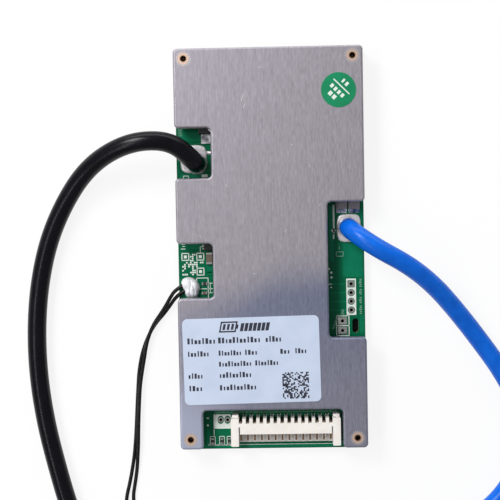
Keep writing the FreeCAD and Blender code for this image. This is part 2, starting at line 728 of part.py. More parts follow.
def make_connector_housing():
    """The side-entry cell connector: pillars, open mouth, cut-back roof and castellated rear."""
    body = new_body("connector", CONNECTOR_X, "sizes.contact_row_y", BOARD_TOP)
    half = "sizes.housing_width / 2"
    front = "-sizes.housing_front"
    shell = new_sketch(body, "shell")
    rectangle(shell, "side", f"-{half}", half, front, "sizes.housing_rear")
    pad(body, "shell_pad", shell, "sizes.housing_height")
    round_edges(body, "corners", upright, "sizes.housing_corner_radius")

    ceiling = "sizes.housing_height - sizes.housing_wall"
    mouth = new_sketch(body, "mouth", "XZ_Plane", "sizes.rear_wall_front")
    rectangle(mouth, "mouth", f"-{CAVITY_RIGHT}", CAVITY_RIGHT, "sizes.housing_wall", ceiling)
    pocket(body, "mouth_cut", mouth, forward=True)

    roof = new_sketch(body, "roof", offset=ceiling)
    rectangle(roof, "front", f"-{CAVITY_RIGHT}", CAVITY_RIGHT,
              f"{front} - {OVERRUN}", "-sizes.top_wall_front")
    pocket(body, "roof_cut", roof, forward=True)

    gaps = new_sketch(body, "pillar_gaps", offset=ceiling)
    for key, side in (("left", -1), ("right", 1)):
        outer = f"{side} * {CAVITY_RIGHT}"
        inner = f"{side} * ({CAVITY_RIGHT} - sizes.pillar_gap)"
        left, right = (outer, inner) if side < 0 else (inner, outer)
        rectangle(gaps, key, left, right, f"-sizes.top_wall_front - {OVERRUN}",
                  "-sizes.rear_wall_front")
    pocket(body, "pillar_gap_cut", gaps, forward=True)

    lip = new_sketch(body, "floor_lip", offset="sizes.housing_wall")
    rectangle(lip, "lip", f"-{CAVITY_RIGHT}", CAVITY_RIGHT,
              f"{front} - {OVERRUN}", "-sizes.floor_front")
    pocket(body, "floor_cut", lip)

    first = f"(-{CONTACT_SPAN} / 2)"
    gap = new_sketch(body, "tooth_gap")
    rectangle(gap, "gap", f"{first} - sizes.tooth_gap_width / 2",
              f"{first} + sizes.tooth_gap_width / 2",
              "-sizes.tooth_gap_root", f"sizes.housing_rear + {OVERRUN}")
    cut = pocket(body, "tooth_gap_cut", gap, forward=True)
    row_of(body, "teeth", [cut], "X_Axis", CONTACT_SPAN, "sizes.contact_count")

    passage = new_sketch(body, "passage", "XZ_Plane")
    side = "(sizes.contact_side / 2 + sizes.fit_clearance)"
    rectangle(passage, "hole", f"{first} - {side}", f"{first} + {side}",
              f"sizes.contact_height - {side}", f"sizes.contact_height + {side}")
    cut = pocket(body, "passage_cut", passage, "sizes.rear_wall_front + 0.3", forward=True)
    row_of(body, "passages", [cut], "X_Axis", CONTACT_SPAN, "sizes.contact_count")

    feet = new_sketch(body, "feet")
    for key, side in (("left", -1), ("right", 1)):
        outer = f"{side} * ({half} - sizes.foot_inset)"
        inner = f"{side} * ({half} - sizes.foot_inset - sizes.foot_width)"
        left, right = (outer, inner) if side < 0 else (inner, outer)
        rectangle(feet, key, left, right, "0", "sizes.housing_rear + sizes.foot_depth")
    pad(body, "feet_pad", feet, "sizes.foot_height")
    node(body, "cell_connector_housing")


def make_connector_contacts():
    """Square contacts, each bent down from the mouth of the connector through the board."""
    body = new_body("contacts", CONNECTOR_X, "sizes.contact_row_y", BOARD_TOP, loose=True)
    side = "sizes.contact_side / 2"
    top = f"sizes.contact_height + {side}"
    radius = "sizes.contact_bend_radius"
    bend = []
    for angle in (0, 30, 60, 90):
        run = round(1 - math.cos(math.radians(angle)), 6)
        rise = round(1 - math.sin(math.radians(angle)), 6)
        bend.append((f"{side} - {radius} * {run}", f"{top} - {radius} * {rise}"))
    drop = "(sizes.board_thickness + sizes.contact_below_board)"
    profile = new_sketch(body, "profile", "YZ_Plane", f"-{CONTACT_SPAN} / 2")
    polygon(profile, "bend", [
        ("-sizes.contact_tip", f"sizes.contact_height - {side}"),
        (f"-{side}", f"sizes.contact_height - {side}"),
        (f"-{side}", f"-{drop}"),
        (side, f"-{drop}"),
        *bend,
        ("-sizes.contact_tip", top),
    ])
    bar = pad(body, "bar", profile, "sizes.contact_side", centred=True)
    row_of(body, "row", [bar], "X_Axis", CONTACT_SPAN, "sizes.contact_count")
    node(body, "cell_connector_contacts")


def make_connector_joints():
    """Solder cones round the contacts, under the board."""
    body = new_body("joints", "sizes.first_contact_x", "sizes.contact_row_y", BOARD_UNDER,
                    loose=True)
    foot = new_sketch(body, "foot")
    wide = "sizes.joint_diameter / 2"
    near = f"{wide} * 0.414"
    polygon(foot, "octagon", (
        (wide, f"-{near}"), (wide, near), (near, wide), (f"-{near}", wide),
        (f"-{wide}", near), (f"-{wide}", f"-{near}"), (f"-{near}", f"-{wide}"),
        (near, f"-{wide}"),
    ))
    cone = pad(body, "cone", foot, "sizes.joint_height", draft="sizes.joint_slope")
    cone.Reversed = True
    doc.recompute()
    hole = new_sketch(body, "hole")
    side = "(sizes.contact_side / 2 + sizes.fit_clearance)"
    rectangle(hole, "hole", f"-{side}", side, f"-{side}", side)
    drill = pocket(body, "passage", hole)
    row_of(body, "row", [cone, drill], "X_Axis", CONTACT_SPAN, "sizes.contact_count")
    node(body, "cell_connector_joints")


def make_bare_pads():
    """Tinned pads with nothing fitted: the header, the switch and the spare contacts."""
    body = new_body("bare_pads", z=BOARD_TOP, loose=True)
    rings = new_sketch(body, "rings")
    half = "sizes.header_pad / 2"
    x = "sizes.header_x"
    for i in range(int(number("sizes.header_count"))):
        y = f"(sizes.header_first_y - {i} * sizes.header_pitch)"
        if i == 0:
            rectangle(rings, "header_first", f"{x} - {half}", f"{x} + {half}",
                      f"{y} - {half}", f"{y} + {half}")
        else:
            circle(rings, f"header_{i}", x, y, "sizes.header_pad")
        circle(rings, f"header_hole_{i}", x, y, "sizes.header_drill")
    for i in range(2):
        x = "sizes.switch_x"
        y = f"(sizes.switch_first_y - {i} * sizes.switch_pitch)"
        width = "sizes.switch_pad_width / 2"
        length = "sizes.switch_pad_length / 2"
        rectangle(rings, f"switch_{i}", f"{x} - {width}", f"{x} + {width}",
                  f"{y} - {length}", f"{y} + {length}")
        circle(rings, f"switch_hole_{i}", x, y, "sizes.switch_drill")
    for i in range(2):
        x = f"sizes.first_contact_x - ({i} + 2) * sizes.contact_pitch"
        circle(rings, f"spare_{i}", x, "sizes.contact_row_y", "sizes.contact_drill + 0.6")
        circle(rings, f"spare_hole_{i}", x, "sizes.contact_row_y", "sizes.contact_drill")
    pad(body, "tin", rings, "sizes.bare_pad_height")
    node(body, "bare_solder_pads")


def cord_path(route):
    """Straight runs joined by tangent arcs, and the radius of each arc."""
    points = [Vector(*point) for point in route]
    edges = []
    radii = []
    start = points[0]
    for before, corner, after in zip(points, points[1:], points[2:]):
        back = before - corner
        ahead = after - corner
        turn = math.pi - back.getAngle(ahead)
        reach = 0.45 * min(back.Length, ahead.Length)
        radius = reach / math.tan(turn / 2)
        back.normalize()
        ahead.normalize()
        inward = (back + ahead).normalize()
        first = corner + back * reach
        last = corner + ahead * reach
        middle = corner + inward * (radius / math.cos(turn / 2) - radius)
        edges.append(Part.LineSegment(start, first).toShape())
        edges.append(Part.Arc(first, middle, last).toShape())
        radii.append(radius)
        start = last
    edges.append(Part.LineSegment(start, points[-1]).toShape())
    return Part.Wire(edges), radii


def tube_shape(route, diameter):
    """A round tube along a route."""
    path, radii = cord_path(route)
    start = Vector(*route[0])
    along = Vector(*route[1]) - start
    ring = Part.Wire([Part.makeCircle(diameter / 2, start, along)])
    return path.makePipeShell([ring], True, False), path, radii


def make_cord(label, route, diameter):
    """One cord as a tube; its radii, length, volume and lowest point are printed."""
    size = number(diameter)
    tube, path, radii = tube_shape(route, size)
    item = doc.addObject("Part::Feature", label)
    item.Shape = tube
    item.Placement = Placement()
    section = math.pi * size ** 2 / 4
    in_diameters = " ".join(f"{radius / size:.1f}" for radius in radii)
    print(f"{label}: length {path.Length:.1f}, radii in diameters {in_diameters}")
    print(f"{label}: volume over section x length {tube.Volume / section / path.Length:.4f},"
          f" lowest {tube.BoundBox.ZMin:.3f}")
    return node(item, label)


def make_strands(label, route):
    """The stripped and tinned strands that stick out of the free end of a lead."""
    end = Vector(*route[-1])
    along = end - Vector(*route[-2])
    item = doc.addObject("Part::Cylinder", label)
    bind(item, "Radius", "sizes.strand_diameter / 2")
    bind(item, "Height", "sizes.strand_length")
    item.Placement = Placement(end, Rotation(Vector(0, 0, 1), along))
    node(item, label)


def make_power_joint(key, x, y, width, route, track):
    """A domed solder pad on the board with a neck of solder up to the lead."""
    body = new_body(f"{key}_pad", x, y, BOARD_TOP)
    base = new_sketch(body, "base")
    half = f"{width} / 2"
    reach = "sizes.power_pad_length / 2"
    rectangle(base, "side", f"-{half}", half, f"-{reach}", reach)
    pad(body, "slab", base, "sizes.power_pad_height")
    round_edges(body, "corners", upright, "sizes.power_pad_corner")
    top = number("sizes.power_pad_height")
    round_edges(body, "top_edge", lambda edge: level(edge, top), "sizes.power_pad_round")

    start = Vector(*route[0])
    along = (Vector(*route[1]) - start).normalize()
    flat = Vector(along.x, along.y, 0).normalize()
    across = Vector(-flat.y, flat.x, 0)
    foot = doc.addObject("Part::Ellipse", f"{key}_neck_foot")
    bind(foot, "MajorRadius", "sizes.neck_width / 2")
    bind(foot, "MinorRadius", "sizes.neck_length / 2")
    middle = start - flat * number("sizes.neck_back")
    middle.z = number(f"{BOARD_TOP} + sizes.power_pad_height / 2")
    foot.Placement = Placement(middle, Rotation(across, -flat, Vector(0, 0, 1), "ZXY"))
    mouth = doc.addObject("Part::Circle", f"{key}_neck_mouth")
    bind(mouth, "Radius", "sizes.lead_diameter / 2")
    mouth.Placement = Placement(start, Rotation(across, along.cross(across), along, "ZXY"))
    neck = doc.addObject("Part::Loft", f"{key}_neck")
    neck.Sections = [foot, mouth]
    neck.Solid = True
    neck.Ruled = True

    pieces = [body, neck]
    if track:
        low = BOARD_TOP
        side = "sizes.track_width / 2"
        pieces.append(block(f"{key}_track", x, "sizes.track_right", f"sizes.track_y - {side}",
                            f"sizes.track_y + {side}", low, f"{low} + sizes.track_height"))
    joint = doc.addObject("Part::MultiFuse", f"{key}_joint")
    joint.Shapes = pieces
    node(joint, f"{key}_lead_solder")


def make_sensor():
    """The thermistor bead on its two wires and the blob of glue that holds them to the board."""
    make_cord("thermistor_wire_a", wire_a_route, "sizes.sensor_wire_diameter")
    make_cord("thermistor_wire_b", wire_b_route, "sizes.sensor_wire_diameter")

    middle = (Vector(*wire_a_route[-1]) + Vector(*wire_b_route[-1])) / 2
    radius = "sizes.bead_diameter / 2"
    bead = new_body("bead", f"{middle.x} + sizes.bead_clearance", middle.y, radius)
    turned(bead, "drop", (
        ("0", "0"),
        (f"{radius} * 0.8", "0"),
        (radius, f"{radius} * 0.4"),
        (radius, f"sizes.bead_length - {radius}"),
        (f"{radius} * 0.87", f"sizes.bead_length - {radius} * 0.5"),
        (f"{radius} * 0.5", f"sizes.bead_length - {radius} * 0.13"),
        ("0", "sizes.bead_length"),
    ))
    bead.Placement = Placement(bead.Placement.Base, Rotation(Vector(0, 0, 1), Vector(1, 0, 0)))
    node(bead, "thermistor_head")

    blob = new_body("glue_dome", "sizes.glue_x", "sizes.glue_y", BOARD_TOP)
    radius = "sizes.glue_diameter / 2"
    steps = 7
    section = [("0", "0")]
    for i in range(steps + 1):
        angle = math.radians(90 * i / steps)
        out = round(math.cos(angle), 6)
        up = round(math.sin(angle), 6)
        section.append((f"{radius} * {out}", f"sizes.glue_height * {up}"))
    turned(blob, "dome", section)
    channels = []
    wide = number("sizes.sensor_wire_diameter + 2 * sizes.fit_clearance")
    for key, route in (("a", wire_a_route), ("b", wire_b_route)):
        channel = doc.addObject("Part::Feature", f"glue_channel_{key}")
        channel.Shape = tube_shape(route[:4], wide)[0]
        channels.append(channel)
    both = doc.addObject("Part::MultiFuse", "glue_channels")
    both.Shapes = channels
    glue = doc.addObject("Part::Cut", "glue")
    glue.Base = blob
    glue.Tool = both
    node(glue, "thermistor_glue")


def make_labels():
    """The rating label, slightly askew, and the round inspection label."""
    body = new_body("label", "sizes.rating_label_x", "sizes.rating_label_y", PLATE_TOP)
    sheet_outline = new_sketch(body, "outline")
    half = "sizes.rating_label_width / 2"
    reach = "sizes.rating_label_length / 2"
    rectangle(sheet_outline, "side", f"-{half}", half, f"-{reach}", reach)
    pad(body, "film", sheet_outline, "sizes.label_thickness")
    round_edges(body, "corners", upright, "sizes.rating_label_corner")
    turn = Rotation(Vector(0, 0, 1), number("sizes.rating_label_turn"))
    body.Placement = Placement(body.Placement.Base, turn)
    bind(body, "Placement.Rotation.Angle", "sizes.rating_label_turn")
    node(body, "rating_label")

    dot = doc.addObject("Part::Cylinder", "round_label")
    bind(dot, "Radius", "sizes.round_label_diameter / 2")
    bind(dot, "Height", "sizes.label_thickness")
    place(dot, "sizes.round_label_x", "sizes.round_label_y", PLATE_TOP)
    node(dot, "inspection_label")


def make_package(label, x, y, width, length, height):
    """A moulded package with its top edges bevelled."""
    body = new_body(f"{label}_body", x, y, BOARD_TOP)
    outline = new_sketch(body, "outline")
    rectangle(outline, "side", f"-{width} / 2", f"{width} / 2", f"-{length} / 2", f"{length} / 2")
    pad(body, "block", outline, height)
    top = number(height)
    base = body.Tip
    edges = [f"Edge{i}" for i, edge in enumerate(base.Shape.Edges, start=1) if level(edge, top)]
    bevel = body.newObject("PartDesign::Chamfer", f"{body.Name}_bevel")
    bevel.Base = (base, edges)
    bind(bevel, "Size", "sizes.package_chamfer")
    doc.recompute()
    return node(body, label)


def make_transistors():
    """Two rows of power transistors with their tabs, leads and thermal pads."""
    tabs = []
    leads = []
    count = int(number("sizes.transistor_count"))
    half = "sizes.transistor_length / 2"
    tab_reach = "sizes.tab_length / 2"
    lead_reach = "sizes.transistor_lead_reach / 2"
    rows = (
        ("charge", "sizes.charge_first_x", f"(sizes.charge_front_y + {half})", -1),
        ("discharge", "sizes.discharge_first_x", f"(sizes.discharge_rear_y - {half})", 1),
    )
    for key, first_x, y, toward in rows:
        for i in range(count):
            x = f"({first_x} + {i} * sizes.transistor_pitch)"
            make_package(f"{key}_mosfet_{i + 1}", x, y, "sizes.transistor_width",
                         "sizes.transistor_length", "sizes.transistor_height")
            tab_y = f"{y} + {toward} * ({half} + {tab_reach})"
            tabs.append(centred_block(f"{key}_tab_{i + 1}", x, tab_y, "sizes.tab_width",
                                      "sizes.tab_length", BOARD_TOP, "sizes.tab_thickness"))
            lead_y = f"{y} - {toward} * ({half} + {lead_reach})"
            for side in (-1, 1):
                lead_x = f"{x} + {side} * sizes.transistor_lead_offset"
                name = f"{key}_lead_{i + 1}_{'left' if side < 0 else 'right'}"
                leads.append(centred_block(name, lead_x, lead_y, "sizes.transistor_lead_width",
                                           "sizes.transistor_lead_reach", BOARD_TOP,
                                           "sizes.tab_thickness"))
        low = f"{BOARD_TOP} + sizes.transistor_height"
        left = f"{first_x} - sizes.transistor_width / 2"
        last = f"{first_x} + {count - 1} * sizes.transistor_pitch"
        margin = "sizes.thermal_pad_margin" if key == "charge" else "0"
        cushion = block(f"{key}_cushion", left, f"{last} + sizes.transistor_width / 2",
                        f"{y} - {half} + {margin}", f"{y} + {half}", low, PLATE_UNDER)
        node(cushion, f"thermal_pad_{key}")
    group("mosfet_tabs", tabs)
    group("mosfet_leads", leads)


def make_shunts():
    """Two current shunts side by side with a wedge of solder at each end."""
    right_x = "(sizes.shunt_left_x + sizes.shunt_width + sizes.shunt_gap)"
    middle = "(sizes.shunt_front_y + sizes.shunt_length / 2)"
    wedges = []
    for key, left in (("left", "sizes.shunt_left_x"), ("right", right_x)):
        x = f"({left} + sizes.shunt_width / 2)"
        shunt = centred_block(f"shunt_{key}", x, middle, "sizes.shunt_width",
                              "sizes.shunt_length", BOARD_TOP, "sizes.shunt_height")
        node(shunt, f"shunt_resistor_{key}")
        for end, toward in (("front", -1), ("rear", 1)):
            body = new_body(f"wedge_{key}_{end}", x, middle, BOARD_TOP)
            section = new_sketch(body, "section", "YZ_Plane")
            near = f"{toward} * sizes.shunt_length / 2"
            far = f"{near} + {toward} * sizes.shunt_joint_length"
            polygon(section, "wedge", ((near, "0"), (far, "0"), (near, "sizes.shunt_joint_height")))
            pad(body, "wedge", section, "sizes.shunt_width - 0.2", centred=True)
            wedges.append(body)
    group("shunt_joints", wedges)


def make_chip_pins(key, count, pins):
    """Bent pins on all four sides of a square chip."""
    half = f"sizes.{key}_side / 2"
    thick = "sizes.chip_pin_thickness"
    knee = "sizes.chip_pin_reach * 0.3"
    heel = "sizes.chip_pin_reach * 0.5"
    span = f"(sizes.chip_pin_pitch * ({count} - 1))"
    for quarter in range(4):
        body = new_body(f"{key}_pins_{quarter}", f"sizes.{key}_x", f"sizes.{key}_y", BOARD_TOP,
                        loose=True)
        section = new_sketch(body, "section", "YZ_Plane", f"-{span} / 2")
        polygon(section, "pin", (
            (f"-{half}", "sizes.chip_pin_exit"),
            (f"-{half} - {knee}", "sizes.chip_pin_exit"),
            (f"-{half} - {heel} + {thick}", "0"),
            (f"-{half} - sizes.chip_pin_reach", "0"),
            (f"-{half} - sizes.chip_pin_reach", thick),
            (f"-{half} - {heel}", thick),
            (f"-{half} - {knee} - {thick}", f"sizes.chip_pin_exit + {thick}"),
            (f"-{half}", f"sizes.chip_pin_exit + {thick}"),
        ))
        pin = pad(body, "pin", section, "sizes.chip_pin_width", centred=True)
        row_of(body, "row", [pin], "X_Axis", span, count)
        turn = Rotation(Vector(0, 0, 1), 90 * quarter)
        body.Placement = Placement(body.Placement.Base, turn)
        pins.append(body)


def make_chips():
    """The monitor chip, the controller and the regulator at the edge of the sensor notch."""
    pins = []
    for key in ("monitor_chip", "controller_chip"):
        side = f"sizes.{key}_side"
        make_package(key, f"sizes.{key}_x", f"sizes.{key}_y", side, side, "sizes.chip_height")
        make_chip_pins(key, f"sizes.{key}_pins", pins)
    make_package("regulator_chip", "sizes.regulator_x", "sizes.regulator_y",
                 "sizes.regulator_width", "sizes.regulator_length", "sizes.regulator_height")
    x = "sizes.regulator_x - sizes.regulator_width / 2 - sizes.small_lead_reach / 2"
    for i in (-1, 0, 1):
        y = f"sizes.regulator_y + {i} * sizes.small_lead_spread"
        pins.append(centred_block(f"regulator_lead_{i + 2}", x, y, "sizes.small_lead_reach",
                                  "sizes.small_lead_width", BOARD_TOP,
                                  "sizes.small_lead_thickness"))
    group("chip_leads", pins)


def make_balancing():
    """One bleed resistor and one small transistor for each cell."""
    resistors = []
    transistors = []
    leads = []
    count = int(number("sizes.balance_count"))
    for i in range(count):
        step = f"({i} - (sizes.balance_count - 1) / 2) * sizes.balance_pitch"
        x = f"(sizes.balance_centre_x + {step})"
        resistors.append(centred_block(
            f"bleed_{i + 1}", x, "sizes.balance_resistor_y", "sizes.balance_resistor_width",
            "sizes.balance_resistor_length", BOARD_TOP, "sizes.balance_resistor_height"))
        transistors.append(centred_block(
            f"switch_{i + 1}", x, "sizes.balance_transistor_y", "sizes.balance_transistor_width",
            "sizes.balance_transistor_length", BOARD_TOP, "sizes.balance_transistor_height"))
        reach = "(sizes.balance_transistor_width + sizes.small_lead_reach) / 2"
        spots = ((-1, -1), (-1, 1), (1, 0))
        for j, (side, step) in enumerate(spots, start=1):
            leads.append(centred_block(
                f"switch_{i + 1}_lead_{j}", f"{x} + {side} * {reach}",
                f"sizes.balance_transistor_y + {step} * sizes.small_lead_spread",
                "sizes.small_lead_reach", "sizes.small_lead_width", BOARD_TOP,
                "sizes.small_lead_thickness"))
    group("balance_resistors", resistors)
    group("balance_transistors", transistors)
    group("balance_transistor_leads", leads)


def chip_part(name, x, y, length, width, height, end, along_x, ends):
    """A small two-ended part: its body is returned and its two end caps are added to a list."""
    body_length = f"(({length}) - 2 * ({end}))"
    offset = f"(({length}) - ({end})) / 2"
    if along_x:
        body = centred_block(name, x, y, body_length, width, BOARD_TOP, height)
    else:
        body = centred_block(name, x, y, width, body_length, BOARD_TOP, height)
    for key, side in (("one", -1), ("two", 1)):
        if along_x:
            cap = centred_block(f"{name}_{key}", f"{x} + {side} * {offset}", y, end, width,
                                BOARD_TOP, height)
        else:
            cap = centred_block(f"{name}_{key}", x, f"{y} + {side} * {offset}", width, end,
                                BOARD_TOP, height)
        ends.append(cap)
    return body


def make_small_parts():
    """Small resistors and capacitors, with all their tinned ends in one group."""
    ends = []
    size = ("sizes.chip_part_length", "sizes.chip_part_width", "sizes.chip_part_height",
            "sizes.chip_part_end")
    spots = [(f"sizes.first_contact_x - sizes.front_part_{i}_from_contact",
              "sizes.front_part_y", False) for i in (1, 2, 3)]
    spots.append(("sizes.edge_resistor_x", "sizes.edge_resistor_y", True))
    for i in range(int(number("sizes.contact_count"))):
        x = f"sizes.first_contact_x + {i} * sizes.contact_pitch"
        spots.append((x, "sizes.filter_row_y", False))
    resistors = [chip_part(f"small_resistor_{i}", x, y, *size, along_x, ends)
                 for i, (x, y, along_x) in enumerate(spots, start=1)]
    capacitor = chip_part("small_capacitor_1", "sizes.edge_capacitor_x",
                          "sizes.edge_capacitor_y", *size, True, ends)
    filter_size = ("sizes.filter_capacitor_length", "sizes.filter_capacitor_width",
                   "sizes.filter_capacitor_height", "sizes.filter_capacitor_end")
    big = chip_part("filter_capacitor", "sizes.filter_capacitor_x", "sizes.filter_capacitor_y",
                    *filter_size, False, ends)
    group("small_resistors", resistors)
    group("small_capacitors", [capacitor, big])
    group("small_part_ends", ends)


make_circuit_board()
make_heatsink_plate()
make_posts()
make_screws()
make_connector_housing()
make_connector_contacts()
make_connector_joints()
make_bare_pads()
make_power_joint("black", "sizes.black_pad_x", "sizes.black_pad_y", "sizes.black_pad_width",
                 black_route, True)
make_power_joint("blue", "sizes.blue_pad_x", "sizes.blue_pad_y", "sizes.blue_pad_width",
                 blue_route, False)
make_cord("black_lead", black_route, "sizes.lead_diameter")
make_strands("black_lead_strands", black_route)
make_cord("blue_lead", blue_route, "sizes.lead_diameter")
make_strands("blue_lead_strands", blue_route)
make_sensor()
make_labels()
make_transistors()
make_shunts()
make_chips()
make_balancing()
make_small_parts()
doc.recompute()

for item in doc.Objects:
    if "Invalid" in item.State or "Error" in item.State:
        raise RuntimeError(f"{item.Name} failed")
for item in nodes:
    shape = item.Shape
    if shape.isNull() or not shape.isValid():
        raise RuntimeError(f"{item.Label} has no sound shape")
    shape.exportStep(f"parts/{item.Label}.step")
    box = shape.BoundBox
    print(f"{item.Label}: {len(shape.Solids)} solids, {shape.Volume:.2f} mm3, "
          f"x {box.XMin:.2f} {box.XMax:.2f}, y {box.YMin:.2f} {box.YMax:.2f}, "
          f"z {box.ZMin:.2f} {box.ZMax:.2f}")
print(len(nodes), "nodes")
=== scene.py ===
# %% [markdown]
# # A battery management board, dressed over its solid model
# The object is a green circuit board that hides under an aluminium heatsink plate. Two thick
# leads and a pair of thin sensor wires leave it through notches in the plate. The solid model
# already holds every rigid part in its place, so this lesson adds what a solid model lacks:
# soft cords, lumpy solder, glue, printed marks, and a finish for every surface.

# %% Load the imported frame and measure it
import json
import bpy
import numpy as np
from mathutils import Euler, Matrix, Vector

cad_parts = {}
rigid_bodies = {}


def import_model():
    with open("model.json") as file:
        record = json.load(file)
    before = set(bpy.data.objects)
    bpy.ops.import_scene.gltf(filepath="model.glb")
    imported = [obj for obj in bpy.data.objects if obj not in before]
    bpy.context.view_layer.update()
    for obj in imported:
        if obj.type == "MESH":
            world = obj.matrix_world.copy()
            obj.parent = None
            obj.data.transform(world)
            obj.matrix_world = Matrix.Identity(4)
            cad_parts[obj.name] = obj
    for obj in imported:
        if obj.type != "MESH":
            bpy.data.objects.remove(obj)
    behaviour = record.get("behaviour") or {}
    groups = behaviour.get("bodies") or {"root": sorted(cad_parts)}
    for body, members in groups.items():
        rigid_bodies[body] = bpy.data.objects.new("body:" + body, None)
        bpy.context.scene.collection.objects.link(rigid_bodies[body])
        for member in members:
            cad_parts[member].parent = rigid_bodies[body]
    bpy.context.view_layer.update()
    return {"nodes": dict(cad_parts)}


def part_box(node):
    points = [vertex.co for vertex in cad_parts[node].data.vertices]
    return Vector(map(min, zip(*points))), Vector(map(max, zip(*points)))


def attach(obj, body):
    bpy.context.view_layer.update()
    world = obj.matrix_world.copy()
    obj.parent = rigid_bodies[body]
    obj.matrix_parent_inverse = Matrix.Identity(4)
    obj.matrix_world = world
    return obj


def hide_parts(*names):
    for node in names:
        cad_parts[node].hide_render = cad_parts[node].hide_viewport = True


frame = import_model()
MM = 0.001
BOARD_TOP = 2.9
PLATE_TOP = 9.1

# %% [markdown]
# ## The camera
# The photograph was taken from almost straight above. The focal length, the place and the
# small tilts were found by fitting the outline of the plate, the header holes and the
# connector contacts, so the lens has no shift: the tilt alone frames the board.

# %% Place the camera
FRAME_SIDE = 500
FOCAL_PIXELS = 1209.6
camera_data = bpy.data.cameras.new("camera")
camera_data.sensor_width = 36.0
camera_data.lens = camera_data.sensor_width * FOCAL_PIXELS / FRAME_SIDE
camera_data.clip_start = 0.01
camera_data.clip_end = 10.0
camera = bpy.data.objects.new("camera", camera_data)
camera_turn = Euler((-0.04068, 0.02799, -0.01832), "XYZ").to_matrix().to_4x4()
camera.matrix_world = Matrix.Translation((0.00397, 0.01421, 0.35424)) @ camera_turn
bpy.context.scene.collection.objects.link(camera)
bpy.context.scene.camera = camera
print("lens in mm:", round(camera_data.lens, 2))

# %% [markdown]
# ## A short way to write materials
# Each finish below is a Principled shader with a few noises on Object coordinates. Writing
# every link by hand would hide the idea behind bookkeeping, so one small class adds nodes and
# wires them. A value that is the same all over goes straight on the shader's own socket.

# %% The Finish class
class Finish:
    """A material whose nodes are added with short calls."""

    def __init__(self, name, color, roughness, **sockets):
        self.material = bpy.data.materials.new(name)
        self.material.use_nodes = True
        self.tree = self.material.node_tree
        self.tree.nodes.clear()
        output = self.tree.nodes.new("ShaderNodeOutputMaterial")
        self.shader = self.tree.nodes.new("ShaderNodeBsdfPrincipled")
        self.tree.links.new(self.shader.outputs["BSDF"], output.inputs["Surface"])
        self.shader.inputs["Base Color"].default_value = (*color, 1.0)
        self.shader.inputs["Roughness"].default_value = roughness
        for socket, value in sockets.items():
            self.shader.inputs[socket.replace("_", " ")].default_value = value

    def node(self, kind, inputs=(), **settings):
        """Add a node; inputs are pairs of a socket and a value or another node's output."""
        node = self.tree.nodes.new("ShaderNode" + kind)
        for key, value in settings.items():
            setattr(node, key, value)
        for key, value in dict(inputs).items():
            if isinstance(value, bpy.types.NodeSocket):
                self.tree.links.new(value, node.inputs[key])
            else:
                node.inputs[key].default_value = value
        return node

    def grain(self, size, detail, stretch=(1, 1, 1), shift=0.0):
        """Noise with blobs about size millimetres across, drawn out along each axis by stretch."""
        place = self.node("TexCoord").outputs["Object"]
        scale = [1.0 / (size * MM * s) for s in stretch]
        mapping = self.node("Mapping", {"Vector": place, "Scale": scale,
                                        "Location": (shift, shift, shift)})
        noise = self.node("TexNoise", {"Vector": mapping.outputs["Vector"], "Scale": 1.0,
                                       "Detail": detail})
        return noise.outputs["Fac"]

    def ramp(self, value, stops):
        """Turn a value into a colour; stops are pairs of a position and a colour."""
        ramp = self.node("ValToRGB", {"Fac": value})
        elements = ramp.color_ramp.elements
        while len(elements) < len(stops):
            elements.new(0.5)
        for element, (position, color) in zip(elements, stops):
            element.position = position
            element.color = (*color, 1.0)
        return ramp.outputs["Color"]

    def mix(self, factor, first, second, blend="MIX"):
        """Blend two colours by a factor, or multiply them where blend says so."""
        node = self.node("Mix", data_type="RGBA", blend_type=blend)
        for index, value in ((0, factor), (6, first), (7, second)):
            if isinstance(value, bpy.types.NodeSocket):
                self.tree.links.new(value, node.inputs[index])
            else:
                node.inputs[index].default_value = value if index == 0 else (*value, 1.0)
        return node.outputs[2]

    def math(self, operation, first, second=0.0):
        """One step of arithmetic on two values, each a number or another node's output."""
        return self.node("Math", {0: first, 1: second}, operation=operation).outputs[0]

    def along(self, x, y):
        """Millimetres along a direction in the plane of the board: x * X + y * Y."""
        place = self.node("TexCoord").outputs["Object"]
        return self.node("VectorMath", {0: place, 1: (x / MM, y / MM, 0.0)},
                         operation="DOT_PRODUCT").outputs["Value"]

    def level(self, value, low, high, new_low=0.0, new_high=1.0):
        """Stretch a value from one range to another and hold it inside the new one."""
        return self.node("MapRange", {"Value": value, "From Min": low, "From Max": high,
                                      "To Min": new_low, "To Max": new_high}).outputs["Result"]

    def step(self, value, start, end):
        """Rise smoothly from 0 at start to 1 at end."""
        return self.node("MapRange", {"Value": value, "From Min": start, "From Max": end},
                         interpolation_type="SMOOTHSTEP").outputs["Result"]

    def color(self, socket):
        """Let a node's output drive the colour."""
        self.tree.links.new(socket, self.shader.inputs["Base Color"])

    def clouded(self, noise, low, high, first, second):
        """Go from the first colour to the second as a noise rises from low to high."""
        self.color(self.mix(self.level(noise, low, high), first, second))

    def rough(self, socket):
        """Let a node's output drive the roughness."""
        self.tree.links.new(socket, self.shader.inputs["Roughness"])

    def bump(self, height, depth, strength):
        """Tilt the shading as if height 1 stood depth millimetres proud; strength scales it."""
        bump = self.node("Bump", {"Height": height, "Distance": depth * MM,
                                  "Strength": strength})
        self.tree.links.new(bump.outputs["Normal"], self.shader.inputs["Normal"])


# %% [markdown]
# ## The cords
# A silicone lead is a limp tube that leaves its solder steeply, leans over and lies on the
# table. Blender could simulate that, but a NURBS curve whose control points follow the solid
# model's route keeps the true length and gives one smooth line. The bevel makes the tube.

